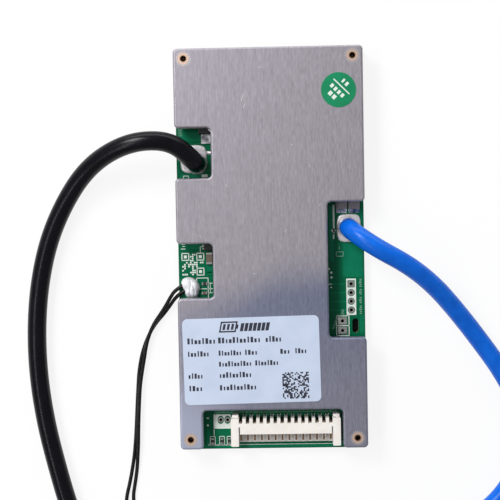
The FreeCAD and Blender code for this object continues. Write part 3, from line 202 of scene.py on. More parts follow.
# %% Silicone for the power leads and the skin of the thin wires
def silicone(name, color, shade, gloss):
    """Soft satin rubber: faint clouds in the colour and a fine talc-like grain."""
    finish = Finish(name, color, gloss, Specular_IOR_Level=0.2)
    finish.clouded(finish.grain(3.0, detail=4.0), 0.35, 0.65, color, shade)
    grain = finish.grain(0.25, detail=2.0, shift=3.1)
    finish.rough(finish.level(grain, 0.3, 0.7, gloss - 0.03, gloss + 0.05))
    finish.bump(grain, 0.006, 0.3)
    return finish.material


black_silicone = silicone("black_silicone", (0.0012, 0.0012, 0.003),
                          (0.0024, 0.0024, 0.0055), 0.26)
blue_silicone = silicone("blue_silicone", (0.001, 0.105, 0.57), (0.002, 0.13, 0.66), 0.28)
wire_skin = silicone("wire_skin", (0.003, 0.003, 0.0034), (0.006, 0.006, 0.0066), 0.3)
wire_skin.node_tree.nodes["Principled BSDF"].inputs["Coat Weight"].default_value = 0.12
print("cord finishes:", black_silicone.name, blue_silicone.name, wire_skin.name)

# %% The routes, in millimetres, from the board to the free end
BLACK_LEAD_ROUTE = (
    (-21.2, 25.5, 4.6), (-21.3, 25.9, 9.8), (-27.3, 31.5, 12.5), (-36.6, 32.0, 13.1),
    (-45.4, 29.2, 10.4), (-53.4, 23.6, 6.4), (-59.9, 14.8, 3.4), (-64.9, 4.0, 2.75),
    (-67.9, -8.5, 2.75), (-69.2, -22.0, 2.75), (-68.9, -36.0, 2.75), (-67.0, -50.0, 2.75),
    (-64.0, -63.0, 2.75), (-60.8, -75.0, 2.75), (-56.6, -86.0, 2.75), (-49.0, -95.5, 2.75),
    (-38.5, -102.0, 2.75), (-26.5, -104.5, 2.75), (-16.7, -104.2, 2.75),
)
BLUE_LEAD_ROUTE = (
    (22.5, 6.2, 4.8), (22.8, 5.5, 9.5), (30.0, 0.4, 12.3), (39.0, -4.6, 11.4),
    (46.6, -10.8, 8.0), (53.4, -18.6, 4.6), (60.0, -27.2, 2.75), (66.6, -36.6, 2.75),
    (72.0, -47.4, 2.75), (73.0, -60.0, 2.75), (67.4, -72.0, 2.75), (57.4, -80.6, 2.75),
    (44.8, -86.0, 2.75), (31.0, -88.6, 2.75), (17.5, -88.4, 2.75), (4.5, -87.4, 2.75),
    (-8.0, -89.2, 2.75), (-20.4, -92.4, 2.75), (-25.3, -93.2, 2.75),
)
WIRE_A_ROUTE = (
    (-24.6, -9.2, 4.3), (-27.9, -10.9, 4.1), (-29.7, -13.5, 3.1), (-31.1, -15.9, 2.2),
    (-32.8, -18.4, 1.8), (-34.6, -20.9, 1.7), (-35.9, -23.6, 1.7), (-36.8, -26.2, 1.7),
    (-37.3, -28.4, 1.65), (-37.8, -31.3, 1.5), (-38.6, -35.5, 1.5), (-39.2, -39.5, 1.65),
    (-39.5, -43.6, 1.7), (-39.8, -48.6, 1.7), (-40.0, -53.1, 1.6), (-40.1, -56.7, 1.5),
    (-40.4, -60.3, 1.15), (-40.7, -64.0, 0.6), (-41.4, -68.4, 0.55), (-42.2, -72.7, 0.55),
    (-41.4, -76.9, 0.55), (-37.6, -79.3, 0.55), (-31.6, -80.0, 0.55), (-24.4, -79.4, 0.55),
    (-16.0, -79.0, 0.55), (-7.0, -79.7, 0.55), (2.0, -80.1, 0.55), (11.0, -79.5, 0.55),
    (19.5, -79.1, 0.8), (24.4, -79.2, 1.2),
)
WIRE_B_ROUTE = (
    (-24.4, -10.9, 3.9), (-26.6, -12.1, 3.95), (-28.4, -13.8, 3.0), (-30.0, -16.0, 1.3),
    (-32.0, -18.5, 0.6), (-34.2, -20.9, 0.55), (-36.0, -23.7, 0.55), (-37.2, -26.3, 0.55),
    (-38.0, -28.4, 0.55), (-38.8, -31.2, 0.55), (-39.6, -35.6, 0.55), (-39.9, -39.6, 0.55),
    (-40.2, -43.7, 0.55), (-40.5, -48.7, 0.55), (-40.8, -53.2, 0.55), (-41.1, -56.8, 0.55),
    (-41.5, -60.4, 0.55), (-42.1, -63.9, 0.55), (-43.0, -68.4, 0.55), (-44.2, -73.0, 0.55),
    (-44.1, -77.4, 0.55), (-41.4, -80.4, 0.55), (-36.4, -81.6, 0.55), (-30.6, -81.6, 0.55),
    (-24.0, -80.9, 0.55), (-16.0, -80.5, 0.55), (-7.0, -81.2, 0.55), (2.0, -81.6, 0.55),
    (11.0, -81.0, 0.55), (19.5, -80.5, 0.8), (24.4, -80.45, 1.2),
)
LEAD_DIAMETER = 5.5
WIRE_DIAMETER = 1.1
print("control points:", [len(route) for route in (BLACK_LEAD_ROUTE, BLUE_LEAD_ROUTE,
                                                   WIRE_A_ROUTE, WIRE_B_ROUTE)])


# %% Turn a route into a cord
def add_cord(name, route, diameter, material, node):
    """One smooth tube: an order three NURBS spline through the frame's own control points."""
    curve = bpy.data.curves.new(name, "CURVE")
    curve.dimensions = "3D"
    curve.bevel_depth = diameter * MM / 2
    curve.bevel_resolution = 8
    curve.use_fill_caps = True
    spline = curve.splines.new("NURBS")
    spline.points.add(len(route) - 1)
    points = np.ones((len(route), 4))
    points[:, :3] = np.array(route) * MM
    spline.points.foreach_set("co", points.ravel())
    spline.order_u = 3
    spline.use_endpoint_u = True
    spline.resolution_u = 14
    curve.materials.append(material)
    piece = bpy.data.objects.new(name, curve)
    bpy.context.scene.collection.objects.link(piece)
    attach(piece, "root")
    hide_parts(node)
    return piece


def cord_line(piece):
    """The points of the cord's own smooth line, read from a copy of the curve with no bevel."""
    bare = piece.data.copy()
    bare.bevel_depth = 0.0
    probe = bpy.data.objects.new("probe", bare)
    line = bpy.data.meshes.new_from_object(probe)
    points = np.empty(len(line.vertices) * 3)
    line.vertices.foreach_get("co", points)
    for block, rows in ((line, bpy.data.meshes), (probe, bpy.data.objects),
                        (bare, bpy.data.curves)):
        rows.remove(block)
    return points.reshape(-1, 3)


def line_length(points):
    """Sum of the distances between neighbours."""
    return float(np.linalg.norm(np.diff(points, axis=0), axis=1).sum())


black_lead = add_cord("black_power_lead", BLACK_LEAD_ROUTE, LEAD_DIAMETER, black_silicone,
                      "black_lead")
blue_lead = add_cord("blue_power_lead", BLUE_LEAD_ROUTE, LEAD_DIAMETER, blue_silicone,
                     "blue_lead")
wire_a = add_cord("sensor_wire_a", WIRE_A_ROUTE, WIRE_DIAMETER, wire_skin, "thermistor_wire_a")
wire_b = add_cord("sensor_wire_b", WIRE_B_ROUTE, WIRE_DIAMETER, wire_skin, "thermistor_wire_b")
for piece in (black_lead, blue_lead, wire_a, wire_b):
    print(piece.name, "is", round(line_length(cord_line(piece)) / MM, 1), "mm long")

# %% [markdown]
# ## Shapes as arrays
# Most new pieces are one of two kinds: a grid of points that a formula fills, or a thin flat
# shape cut from a printed layer. Both are worked out as whole arrays, so a formula can be read
# in one line, and both come out as closed meshes whose faces point outwards. The faces of a
# part come in groups, each an array with one row of vertex numbers for each face.

# %% Grids and prisms
def add_mesh(name, parts, material, node=None, smooth=True):
    """Join parts, each a pair of vertices in millimetres and groups of faces, into one piece.

    Where a node of the solid model is named, the piece takes its place."""
    vertices = np.concatenate([points for points, _ in parts])
    faces = []
    count = 0
    for points, groups in parts:
        for group in groups:
            faces += (group + count).tolist()
        count += len(points)
    mesh = bpy.data.meshes.new(name)
    mesh.from_pydata((vertices * MM).tolist(), [], faces)
    mesh.polygons.foreach_set("use_smooth", [smooth] * len(mesh.polygons))
    mesh.materials.append(material)
    mesh.update()
    piece = bpy.data.objects.new(name, mesh)
    bpy.context.scene.collection.objects.link(piece)
    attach(piece, "root")
    if node:
        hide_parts(node)
    return piece


def outward(points, groups):
    """Turn all faces round if the volume they enclose comes out negative.

    The volume is the sum over triangle fans of (a x b) . c / 6."""
    volume = 0.0
    for group in groups:
        corners = points[group]
        volume += (np.cross(corners[:, :1], corners[:, 1:-1]) * corners[:, 2:]).sum()
    return (points, groups) if volume > 0 else (points, [group[:, ::-1] for group in groups])


def tube_grid(points):
    """Close a grid of rings (rows, around, 3): quads between rows and a fan at each end."""
    rows, around, _ = points.shape
    index = np.arange(rows * around).reshape(rows, around)
    ahead = np.roll(index, -1, axis=1)
    quads = np.stack([index[:-1], ahead[:-1], ahead[1:], index[1:]], axis=-1).reshape(-1, 4)
    first, last = rows * around, rows * around + 1
    starts = np.stack([np.full(around, first), ahead[0], index[0]], axis=-1)
    ends = np.stack([np.full(around, last), index[-1], ahead[-1]], axis=-1)
    middles = points[[0, -1]].mean(axis=1)
    return outward(np.concatenate([points.reshape(-1, 3), middles]), [quads, starts, ends])


def raised(outline, height):
    """A loop of (x, y) points, set at one height."""
    return np.column_stack([outline, np.full(len(outline), height)])


def prism(outline, low, high):
    """Raise a flat outline, a loop of (x, y) points, from one height to another."""
    ring = np.arange(len(outline))
    ahead = np.roll(ring, -1)
    sides = np.stack([ring, ahead, ahead + len(ring), ring + len(ring)], axis=-1)
    return outward(np.concatenate([raised(outline, low), raised(outline, high)]),
                   [sides, ring[None, ::-1], ring[None] + len(ring)])


def band(inner, outer, low, high):
    """A flat ring between two loops of (x, y) points in step, from one height to another."""
    loops = [raised(inner, low), raised(outer, low), raised(outer, high), raised(inner, high)]
    index = np.arange(4 * len(inner)).reshape(4, len(inner))
    ahead = np.roll(index, -1, axis=1)
    after, after_ahead = np.roll(index, -1, axis=0), np.roll(ahead, -1, axis=0)
    faces = np.stack([index, ahead, after_ahead, after], axis=-1).reshape(-1, 4)
    return outward(np.concatenate(loops), [faces])


# %% Flat shapes for printed and etched layers
def turned(points, degrees):
    """Rotate points about zero: x cos - y sin, x sin + y cos."""
    angle = np.radians(degrees)
    c, s = np.cos(angle), np.sin(angle)
    return points @ np.array([[c, s], [-s, c]])


def stroke(x, y, width, length, turn=0.0):
    """A rectangle about a centre, turned by degrees."""
    corners = np.array([(-1, -1), (1, -1), (1, 1), (-1, 1)]) * (width / 2, length / 2)
    return turned(corners, turn) + (x, y)


def disc(x, y, radius, sides):
    """Points round a circle."""
    angle = np.linspace(0, 2 * np.pi, sides, endpoint=False)
    return np.column_stack([x + radius * np.cos(angle), y + radius * np.sin(angle)])


def squared(x, y, half_width, half_length, sides):
    """Points round a rectangle, in step with a disc's: the direction over its larger part."""
    angle = np.linspace(0, 2 * np.pi, sides, endpoint=False)
    way = np.column_stack([np.cos(angle), np.sin(angle)])
    way /= np.abs(way).max(axis=1, keepdims=True)
    return way * (half_width, half_length) + (x, y)


def box_lines(left, right, front, rear, line):
    """Four strokes along the sides of a rectangle."""
    x, y = (left + right) / 2, (front + rear) / 2
    width = right - left + line
    length = rear - front
    return [stroke(x, front, width, line), stroke(x, rear, width, line),
            stroke(left, y, line, length), stroke(right, y, line, length)]


INK = 0.045


def printed(name, outlines, base, material, thickness=INK):
    """A printed layer: every outline raised by the ink's thickness."""
    parts = [prism(outline, base, base + thickness) for outline in outlines]
    return add_mesh(name, parts, material, smooth=False)


# %% [markdown]
# ## The heatsink plate
# The plate is rolled aluminium with a fine brushed face: short scratches run along the board.
# The solid already has the notches and the rounded rim, so it only gets a finish. Two noises
# drawn out along Y make the scratches. Across a slanted line the colour is painted darker and
# bluer, and one corner is painted paler: smooth steps on two directions paint a reflection
# into the colour.

# %% Brushed aluminium
def brushed_aluminium():
    """Colour, roughness and height follow the scratches; smooth steps paint in a reflection."""
    finish = Finish("brushed_aluminium", (0.4, 0.37, 0.42), 0.5, Metallic=0.7)
    fine = finish.grain(0.24, stretch=(1, 8, 1), detail=2.0)
    wide = finish.grain(0.5, stretch=(1, 12, 1), detail=2.0, shift=5.0)
    clouds = finish.grain(16.0, detail=1.0, shift=9.0)
    scratch = finish.math("ADD", fine, wide)
    streaks = finish.ramp(finish.level(scratch, 0.65, 1.35), ((0.0, (0.3, 0.28, 0.316)),
                                                              (1.0, (0.4, 0.374, 0.42))))
    # Painted reflection: below a slanted line the colour turns darker and bluer, most on the right
    # and less again further down, and a paler blue comes in at the lower left.
    wander = finish.level(clouds, 0.3, 0.7, -1.5, 1.5)
    slant = finish.math("ADD", finish.along(-0.24, 1.0), wander)
    below = finish.math("SUBTRACT", finish.step(slant, -3.0, -16.5),
                        finish.math("MULTIPLY", finish.step(slant, -17.0, -56.0), 0.42))
    rightward = finish.step(finish.along(1.0, 0.0), -26.0, -4.0)
    shade = finish.math("MULTIPLY", below, finish.level(rightward, 0.0, 1.0, 0.42, 0.95))
    painted_reflection = finish.mix(shade, streaks, (0.53, 0.615, 0.79), "MULTIPLY")
    corner = finish.step(finish.along(-0.6, -1.0), 46.0, 66.0)
    finish.color(finish.mix(finish.math("MULTIPLY", corner, 0.8), painted_reflection, (0.44, 0.475, 0.62)))
    finish.rough(finish.level(fine, 0.3, 0.7, 0.44, 0.56))
    finish.bump(scratch, 0.008, 0.3)
    return finish.material


def dress(nodes, material):
    """Give carried-over nodes of the solid model a finish."""
    for name in nodes:
        solid = frame["nodes"][name]
        if not solid.material_slots:
            solid.data.materials.append(material)
        for slot in solid.material_slots:
            slot.material = material
    print("dressed", len(nodes), "nodes in", material.name)


dress(["heatsink_plate"], brushed_aluminium())

# %% [markdown]
# ## The circuit board
# Solder mask is a thin green lacquer over copper. Where copper lies under it, it looks
# lighter, and the laminate shows on the cut edges. The mask is a finish on the solid; the
# copper areas and tracks are thin raised shapes under the same lacquer.

# %% Solder mask and laminate
def solder_mask(name, low, high):
    """Green lacquer with faint weave from the glass cloth; the cut edge shows the laminate."""
    finish = Finish(name, low, 0.32, Specular_IOR_Level=0.12)
    weave = finish.grain(0.6, detail=2.0)
    clouds = finish.grain(5.0, detail=3.0, shift=2.0)
    green = finish.mix(finish.level(clouds, 0.3, 0.7), low, high)
    normal = finish.node("NewGeometry").outputs["Normal"]
    up = finish.node("SeparateXYZ", {"Vector": normal}).outputs["Z"]
    face = finish.level(finish.math("ABSOLUTE", up), 0.4, 0.8)
    finish.color(finish.mix(face, (0.22, 0.25, 0.1), green))
    finish.rough(finish.level(weave, 0.3, 0.7, 0.24, 0.36))
    finish.bump(weave, 0.008, 0.3)
    return finish.material


board_mask = solder_mask("board_mask", (0.0, 0.105, 0.045), (0.001, 0.135, 0.06))
copper_mask = solder_mask("copper_mask", (0.001, 0.15, 0.07), (0.003, 0.185, 0.09))
dress(["circuit_board"], board_mask)

# %% Copper areas and tracks under the mask
HEADER_X = 23.05
HEADER_PITCH = 2.54
HEADER_Y = [-10.25 - HEADER_PITCH * i for i in range(4)]
CONTACT_PITCH = 2.0
CONTACT_COUNT = 14
tracks = [
    stroke(23.6, -3.4, 5.8, 9.6), stroke(26.0, -22.0, 1.2, 5.6), stroke(17.6, 4.4, 1.4, 16.0),
    stroke(-21.7, 33.3, 8.4, 2.6), stroke(-21.6, 21.9, 8.8, 0.8), stroke(-26.5, 27.0, 0.5, 8.6),
    stroke(-18.0, -5.6, 1.6, 2.6), stroke(-22.6, 1.3, 4.6, 1.4),
    stroke(0.0, -57.3, 52.0, 0.7), stroke(-19.3, -54.6, 1.0, 5.0),
]
tracks += [stroke(19.2, y, 5.6, 0.35) for y in HEADER_Y]
tracks += [stroke(-9.6 + CONTACT_PITCH * i, -47.0, 0.6, 3.6) for i in range(CONTACT_COUNT)]
tracks += [stroke(-18.6, -6.2 - 0.8 * i, 3.4, 0.3) for i in range(3)]
printed("copper_areas", tracks, BOARD_TOP - 0.01, copper_mask, thickness=0.035)
print("copper shapes:", len(tracks))

# %% [markdown]
# ## Silkscreen
# White ink marks the places of parts. Words and codes are left off: short plain strokes stand
# where they would be. The ink round the header holes needs openings, so those tiles are bands
# between a rectangle and a circle, or a square at the first hole.

# %% White ink
def ink(name, color, wear):
    """Printed ink, a little worn in small spots."""
    finish = Finish(name, color, 0.55)
    spots = finish.grain(0.35, detail=3.0)
    finish.clouded(spots, 0.55, 0.75, color, wear)
    finish.bump(spots, 0.004, 0.3)
    return finish.material


white_ink = ink("white_ink", (0.74, 0.8, 0.74), (0.5, 0.6, 0.52))


def word(x, y, width, height, turn, gap):
    """A row of plain blocks of three heights by turns, from its left end, turned by degrees.

    The gap is the bare share of each block's place."""
    step = height * 0.62
    count = max(1, int(round(width / step)))
    offsets = (np.arange(count) + 0.5) * width / count
    shapes = []
    for i, offset in enumerate(offsets):
        tall = height * (1.0, 0.72, 0.86)[(i * 5 + count) % 3]
        block = stroke(offset, (tall - height) / 2, width / count * (1 - gap), tall)
        shapes.append(turned(block, turn) + (x, y))
    return shapes


# %% Silkscreen in the header notch and beside the leads
silk = []
faint = []
silk += box_lines(18.66, 22.3, -25.3, -19.55, 0.22) + [stroke(20.5, -22.4, 3.8, 0.26)]
for start, length in ((-19.1, 2.6), (-16.0, 2.0), (-13.5, 1.8), (-11.3, 2.6)):
    faint += word(25.7, start, length, 0.8, 90, 0.45)
faint += word(20.4, -19.2, 1.6, 1.0, 90, 0.45) + word(17.6, -23.4, 4.6, 0.7, 70, 0.5)
faint += box_lines(18.9, 20.9, -2.15, -0.9, 0.22) + [stroke(19.8, 0.2, 0.22, 0.9)]
silk += [stroke(18.3, 8.6, 0.5, 8.2), stroke(18.2, 5.3, 1.0, 1.0, 45)]
# The stroke at (22.72, 12.2) is a painted highlight: white ink standing for the glint on the right
# shunt's edge.
silk += [stroke(18.2, 3.5, 0.45, 1.2), stroke(22.72, 12.2, 0.26, 2.6)]
silk += [stroke(17.0, -10.25, 1.1, 0.25), stroke(17.3, -11.2, 0.5, 0.3)]
silk += [stroke(16.75, -5.83, 0.5, 0.5, 45), stroke(17.35, -6.9, 0.6, 0.6, 20)]
silk += [stroke(17.4, -8.3, 0.6, 0.55, 30)]
faint += [stroke(-25.8, 33.6 + 0.55 * i, 1.2, 0.2) for i in range(4)]
silk += [stroke(-25.1, 21.6, 0.2, 0.7), stroke(-24.35, 21.9, 1.7, 0.2)]
silk += [stroke(-23.6, 21.6, 0.2, 0.7), stroke(-18.9, 21.85, 1.7, 0.85)]

# %% Silkscreen in the sensor notch: a plain pattern of squares and blocks
PATTERN_SIDE = 11
PATTERN_PITCH = 0.58
draws = np.random.default_rng(7).random((PATTERN_SIDE, PATTERN_SIDE))
for row, col in np.argwhere(draws > 0.52):
    x, y = -25.75 + PATTERN_PITCH * col, -6.78 + PATTERN_PITCH * row
    at_corner = (row > 6 and col < 4) or (row > 6 and col > 6) or (row < 4 and col > 6)
    if not at_corner:
        silk.append(stroke(x, y, 0.46, 0.46, 45 * ((row + col) % 2)))
for x, y in ((-25.0, -1.6), (-20.65, -1.6), (-20.65, -5.95)):
    silk += box_lines(x - 1.0, x + 1.0, y - 1.0, y + 1.0, 0.27) + [stroke(x, y, 0.85, 0.85)]
silk += [stroke(x, y, width, 0.2) for x, y, width in ((-25.4, 1.45, 0.8), (-25.5, 2.1, 1.0))]
silk += [stroke(-25.6, 0.7, 1.3, 0.22), stroke(-20.6, 0.3, 0.2, 1.9), stroke(-20.1, 1.3, 0.8, 0.2)]
silk += box_lines(-21.8, -18.5, -13.8, -7.85, 0.22)
silk += [stroke(-18.0, y, 1.6, 0.2) for y in (-9.4, -11.0, -12.2)]
silk += [stroke(-19.6, -11.0, 2.6, 0.22), stroke(-17.9, -10.6, 0.16, 3.0)]

# %% Silkscreen round the cell connector
silk += [stroke(0.0, -56.85, 39.0, 0.16)]
faint += word(-17.5, -47.3, 36.0, 0.6, 0, 0.5)
for i in range(CONTACT_COUNT - 1):
    for x, turn in ((-8.8, 30), (-8.3, -30)):
        silk += [stroke(x + CONTACT_PITCH * i, -48.4, 0.24, 1.0, turn)]
for left, right in ((-18.77, -17.33), (-16.07, -14.63), (-13.82, -12.65)):
    silk += box_lines(left, right, -57.0, -54.4, 0.18)
silk += [stroke(-17.6, -53.2, 0.2, 1.8), stroke(-16.1, -56.95, 6.0, 0.18)]
silk += [stroke(-19.4, -49.0, 0.7, 0.4), stroke(-19.4, -51.1, 0.6, 0.5)]
silk += [stroke(-17.15, -50.0, 1.1, 4.2)]
print("silkscreen strokes:", len(silk), "and faint ones:", len(faint))

# %% Tiles with openings at the bare pads
PAD_SIDES = 32
PAD_RADIUS = 1.05
tiles = []
for y in HEADER_Y:
    inner = disc(HEADER_X, y, PAD_RADIUS, PAD_SIDES)
    if y == HEADER_Y[0]:
        inner = squared(HEADER_X, y, PAD_RADIUS, PAD_RADIUS, PAD_SIDES)
    outer = squared(HEADER_X, y, 1.4, 1.27, PAD_SIDES)
    tiles.append(band(inner, outer, BOARD_TOP, BOARD_TOP + INK))
for x in (-15.6, -13.6):
    inner = disc(0.0, 0.0, 1.0, PAD_SIDES) * (0.93, 1.2) + (x, -49.5)
    outer = squared(x, -50.0, 1.0, 2.1, PAD_SIDES)
    tiles.append(band(inner, outer, BOARD_TOP, BOARD_TOP + INK))
silk += [stroke(HEADER_X, -8.85, 2.8, 0.26), stroke(HEADER_X, -19.22, 2.8, 0.2)]
silk_parts = [prism(outline, BOARD_TOP, BOARD_TOP + INK) for outline in silk]
add_mesh("silkscreen", silk_parts + tiles, white_ink, smooth=False)
faint_ink = ink("faint_ink", (0.16, 0.36, 0.25), (0.06, 0.24, 0.14))
printed("faint_marks", faint, BOARD_TOP, faint_ink)
print("tiles with openings:", len(tiles))

# %% [markdown]
# ## Solder
# Molten solder pulls itself smooth and round, then freezes with a slightly dimpled skin. The
# pad is a superellipse in plan whose height falls away at the rim. The neck is lofted from a
# circle on the pad to the cut end of the lead, so the lead seems to grow out of it.

# %% Solder finish
def solder():
    """Satin metal, a little pink, with soft dents and dull patches where flux has been."""
    finish = Finish("solder", (0.7, 0.67, 0.69), 0.4, Metallic=0.5)
    dents = finish.grain(1.8, detail=2.0)
    dull = finish.grain(1.1, detail=3.0, shift=6.0)
    finish.clouded(dull, 0.4, 0.7, (0.8, 0.77, 0.79), (0.6, 0.57, 0.6))
    finish.rough(finish.level(dull, 0.35, 0.7, 0.32, 0.5))
    finish.bump(dents, 0.05, 0.4)
    return finish.material


solder_finish = solder()


# %% The domed pads and the necks
PAD_POWER = 3.8
PAD_HEIGHT = 0.5
FOOT_HEIGHT = 0.35
FOOT_RADIUS = 2.9


def domed_pad(x, y, half_width, half_length):
    """Rings of a superellipse |x/a|^p + |y/b|^p = 1, scaled from the centre to the rim.

    The height is H (1 - s^14)^0.5 for a scale s, with slow waves near the middle."""
    angle = np.linspace(0, 2 * np.pi, 96, endpoint=False)
    c, s = np.cos(angle), np.sin(angle)
    sum_of_powers = np.abs(c / half_width) ** PAD_POWER + np.abs(s / half_length) ** PAD_POWER
    radius = sum_of_powers ** (-1 / PAD_POWER)
    scale = np.sin(np.linspace(0.03, 1, 22) * np.pi / 2)[:, None]
    wave = 1 + 0.05 * np.sin(3 * angle + 4 * scale) * (1 - scale)
    z = BOARD_TOP + PAD_HEIGHT * np.sqrt(np.clip(1 - scale ** 14, 0, 1)) * wave
    return tube_grid(np.stack([x + scale * radius * c, y + scale * radius * s, z], axis=-1))


def solder_neck(route):
    """Rings from a circle lying on the pad to the lead's end circle.

    Centre, radius and plane go over evenly with t, and the foot flares by (1 - t)^3."""
    start = np.array(route[0])
    along = np.array(route[1]) - start
    along /= np.linalg.norm(along)
    flat = np.array([along[0], along[1], 0.0])
    flat /= np.linalg.norm(flat)
    across = np.array([-flat[1], flat[0], 0.0])
    foot = np.array([start[0], start[1], BOARD_TOP + FOOT_HEIGHT])
    t = np.linspace(0, 1, 18)[:, None, None]
    angle = np.linspace(0, 2 * np.pi, 64, endpoint=False)[None, :, None]
    centre = foot * (1 - t) + start * t
    lift = -flat * (1 - t) + np.cross(along, across) * t
    lift /= np.linalg.norm(lift, axis=-1, keepdims=True)
    flare = 1 + 0.12 * (1 - t) ** 3
    reach = (FOOT_RADIUS * (1 - t) + LEAD_DIAMETER / 2 * t) * flare
    return tube_grid(centre + reach * np.cos(angle) * across + reach * np.sin(angle) * lift)


bare_track = prism(stroke(-17.0, 28.5, 3.0, 1.1), BOARD_TOP, BOARD_TOP + 0.12)
black_joint = add_mesh("black_lead_joint", [domed_pad(-22.0, 26.75, 3.87, 4.1),
                                            solder_neck(BLACK_LEAD_ROUTE), bare_track],
                       solder_finish, "black_lead_solder")
blue_joint = add_mesh("blue_lead_joint", [domed_pad(22.6, 6.0, 3.5, 4.1),
                                          solder_neck(BLUE_LEAD_ROUTE)],
                      solder_finish, "blue_lead_solder")
print("faces of the two joints:", [len(j.data.polygons) for j in (black_joint, blue_joint)])

# %% [markdown]
# ## Stripped ends, bead and glue
# The strands at the end of each lead are tinned, so they hold together as one ribbed rope
# with a slow twist. The thermistor is a dipped bead. The glue is a blob squeezed from a
# tube: a mound over an uneven outline, with creases between its lobes.

# %% Tinned strands
ROPE_RADIUS = 1.7
ROPE_LENGTH = 9.0
ROPE_RIBS = 14
ROPE_TWIST = 1.1


def rope_end(route):
    """Rings on from the lead's end: R (0.93 + 0.07 |cos(ribs (angle - twist t) / 2)|).

    The last tenth closes in as a quarter round."""
    end = np.array(route[-1])
    along = end - np.array(route[-2])
    along /= np.linalg.norm(along)
    side = np.cross(along, (0.0, 0.0, 1.0))
    side /= np.linalg.norm(side)
    over = np.cross(side, along)
    t = np.linspace(0, 1, 40)[:, None]
    angle = np.linspace(0, 2 * np.pi, 112, endpoint=False)[None, :]
    rib = 0.93 + 0.07 * np.abs(np.cos(ROPE_RIBS * (angle - ROPE_TWIST * t) / 2))
    close = np.sqrt(np.clip(1 - (np.clip(t - 0.9, 0, 1) / 0.1) ** 2, 0.02, 1))
    reach = ROPE_RADIUS * rib * close
    points = (end + along * (t * ROPE_LENGTH)[..., None]
              + side * (reach * np.cos(angle))[..., None]
              + over * (reach * np.sin(angle))[..., None])
    return tube_grid(points)


black_strands = add_mesh("black_lead_rope", [rope_end(BLACK_LEAD_ROUTE)],
                         solder_finish, "black_lead_strands")
blue_strands = add_mesh("blue_lead_rope", [rope_end(BLUE_LEAD_ROUTE)],
                        solder_finish, "blue_lead_strands")
print("faces of each rope:", len(black_strands.data.polygons))


# %% The dipped bead
def bead_shape():
    """Rings along X, just out of round, with a full belly and a rounded tip and tail.

    The reach is R (1 - (|t - 0.45| / 0.56)^4)^0.5 for a share t of the length."""
    low, high = (np.array(corner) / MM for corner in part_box("thermistor_head"))
    middle = (low + high) / 2
    radius = (high[2] - low[2]) / 2
    t = np.linspace(0, 1, 36)[:, None]
    angle = np.linspace(0, 2 * np.pi, 40, endpoint=False)[None, :]
    belly = np.sqrt(np.clip(1 - (np.abs(t - 0.45) / 0.56) ** 4, 0.01, 1))
    reach = radius * belly * (1 + 0.015 * np.cos(2 * angle + 6 * t)) / 1.015
    x = np.broadcast_to(low[0] + (high[0] - low[0]) * t, reach.shape)
    return tube_grid(np.stack([x, middle[1] + reach * np.cos(angle),
                               middle[2] + reach * np.sin(angle)], axis=-1))


def epoxy():
    """Black dipping resin, glossy and a little uneven."""
    finish = Finish("epoxy", (0.012, 0.012, 0.013), 0.16, Coat_Weight=0.5)
    waves = finish.grain(1.2, detail=2.0)
    finish.clouded(waves, 0.4, 0.6, (0.01, 0.01, 0.011), (0.018, 0.018, 0.02))
    finish.bump(waves, 0.05, 0.4)
    return finish.material


bead_part = bead_shape()
bead = add_mesh("sensor_bead", [bead_part], epoxy(), "thermistor_head")
print("bead in mm:", np.ptp(bead_part[0], axis=0).round(1).tolist())


# %% The blob of glue
GLUE_X = -23.7
GLUE_Y = -10.6
GLUE_HEIGHT = 2.9
BELL_REACH = 40
BELL_WIDTH = 16.0


def glue_outline(angle):
    """The reach in each direction: listed radii, joined and smoothed by a bell.

    The bell counts in half degrees."""
    ways = np.radians([0, 40, 90, 130, 160, 185, 215, 245, 275, 310, 338, 360])
    radii = np.array([2.9, 2.75, 3.05, 3.45, 2.8, 2.0, 1.9, 2.8, 3.3, 3.3, 2.6, 2.9])
    fine = np.linspace(0, 2 * np.pi, 720, endpoint=False)
    bell = np.exp(-0.5 * (np.arange(-BELL_REACH, BELL_REACH + 1) / BELL_WIDTH) ** 2)
    joined = np.interp(fine, ways, radii)
    padded = np.concatenate([joined[-BELL_REACH:], joined, joined[:BELL_REACH]])
    smooth = np.convolve(padded, bell / bell.sum(), mode="valid")
    return np.interp(angle, fine, smooth, period=2 * np.pi)


def glue_shape():
    """A mound: radius s times the outline, height H (1 - s^3)^0.5 for a scale s.

    Two creases along Y, each a wide bell, and a few lumps make its lobes."""
    angle = np.linspace(0, 2 * np.pi, 128, endpoint=False)[None, :]
    scale = np.sin(np.linspace(0.02, 1, 48) * np.pi / 2)[:, None]
    reach = glue_outline(angle) * scale
    x = reach * np.cos(angle)
    y = reach * np.sin(angle)
    dome = np.sqrt(np.clip(1 - scale ** 3, 0, 1))
    bends = 0.2 * np.sin(1.3 * y)
    creases = (0.1 * np.exp(-((x - 0.2 - bends) / 0.35) ** 2)
               + 0.08 * np.exp(-((x - 1.2 + bends) / 0.28) ** 2))
    lumps = 0.06 * np.sin(1.9 * x + 1.0) * np.cos(1.6 * y + 0.4) + 0.03 * np.sin(3.1 * y + 2.0 * x)
    z = BOARD_TOP + GLUE_HEIGHT * dome * (1 - creases + lumps)
    return tube_grid(np.stack([x + GLUE_X, y + GLUE_Y, z], axis=-1))


def glue():
    """White silicone: light sinks into it, and its skin is smooth."""
    finish = Finish("glue", (0.82, 0.82, 0.8), 0.32, Subsurface_Weight=0.25,
                    Subsurface_Radius=(0.002, 0.002, 0.0018), Subsurface_Scale=0.5)
    clouds = finish.grain(1.5, detail=3.0)
    finish.clouded(clouds, 0.4, 0.7, (0.86, 0.87, 0.9), (0.74, 0.75, 0.78))
    finish.bump(clouds, 0.12, 0.4)
    return finish.material


glue_part = glue_shape()
add_mesh("sensor_glue", [glue_part], glue(), "thermistor_glue")
print("top of the glue in mm:", round(float(glue_part[0][:, 2].max()), 2))

# %% [markdown]
# ## Labels
# The rating label is a pale coated film, printed in near black. Its words are left off, and
# rows of plain blocks keep their places. The round inspection label is green with a line and
# a few blocks.

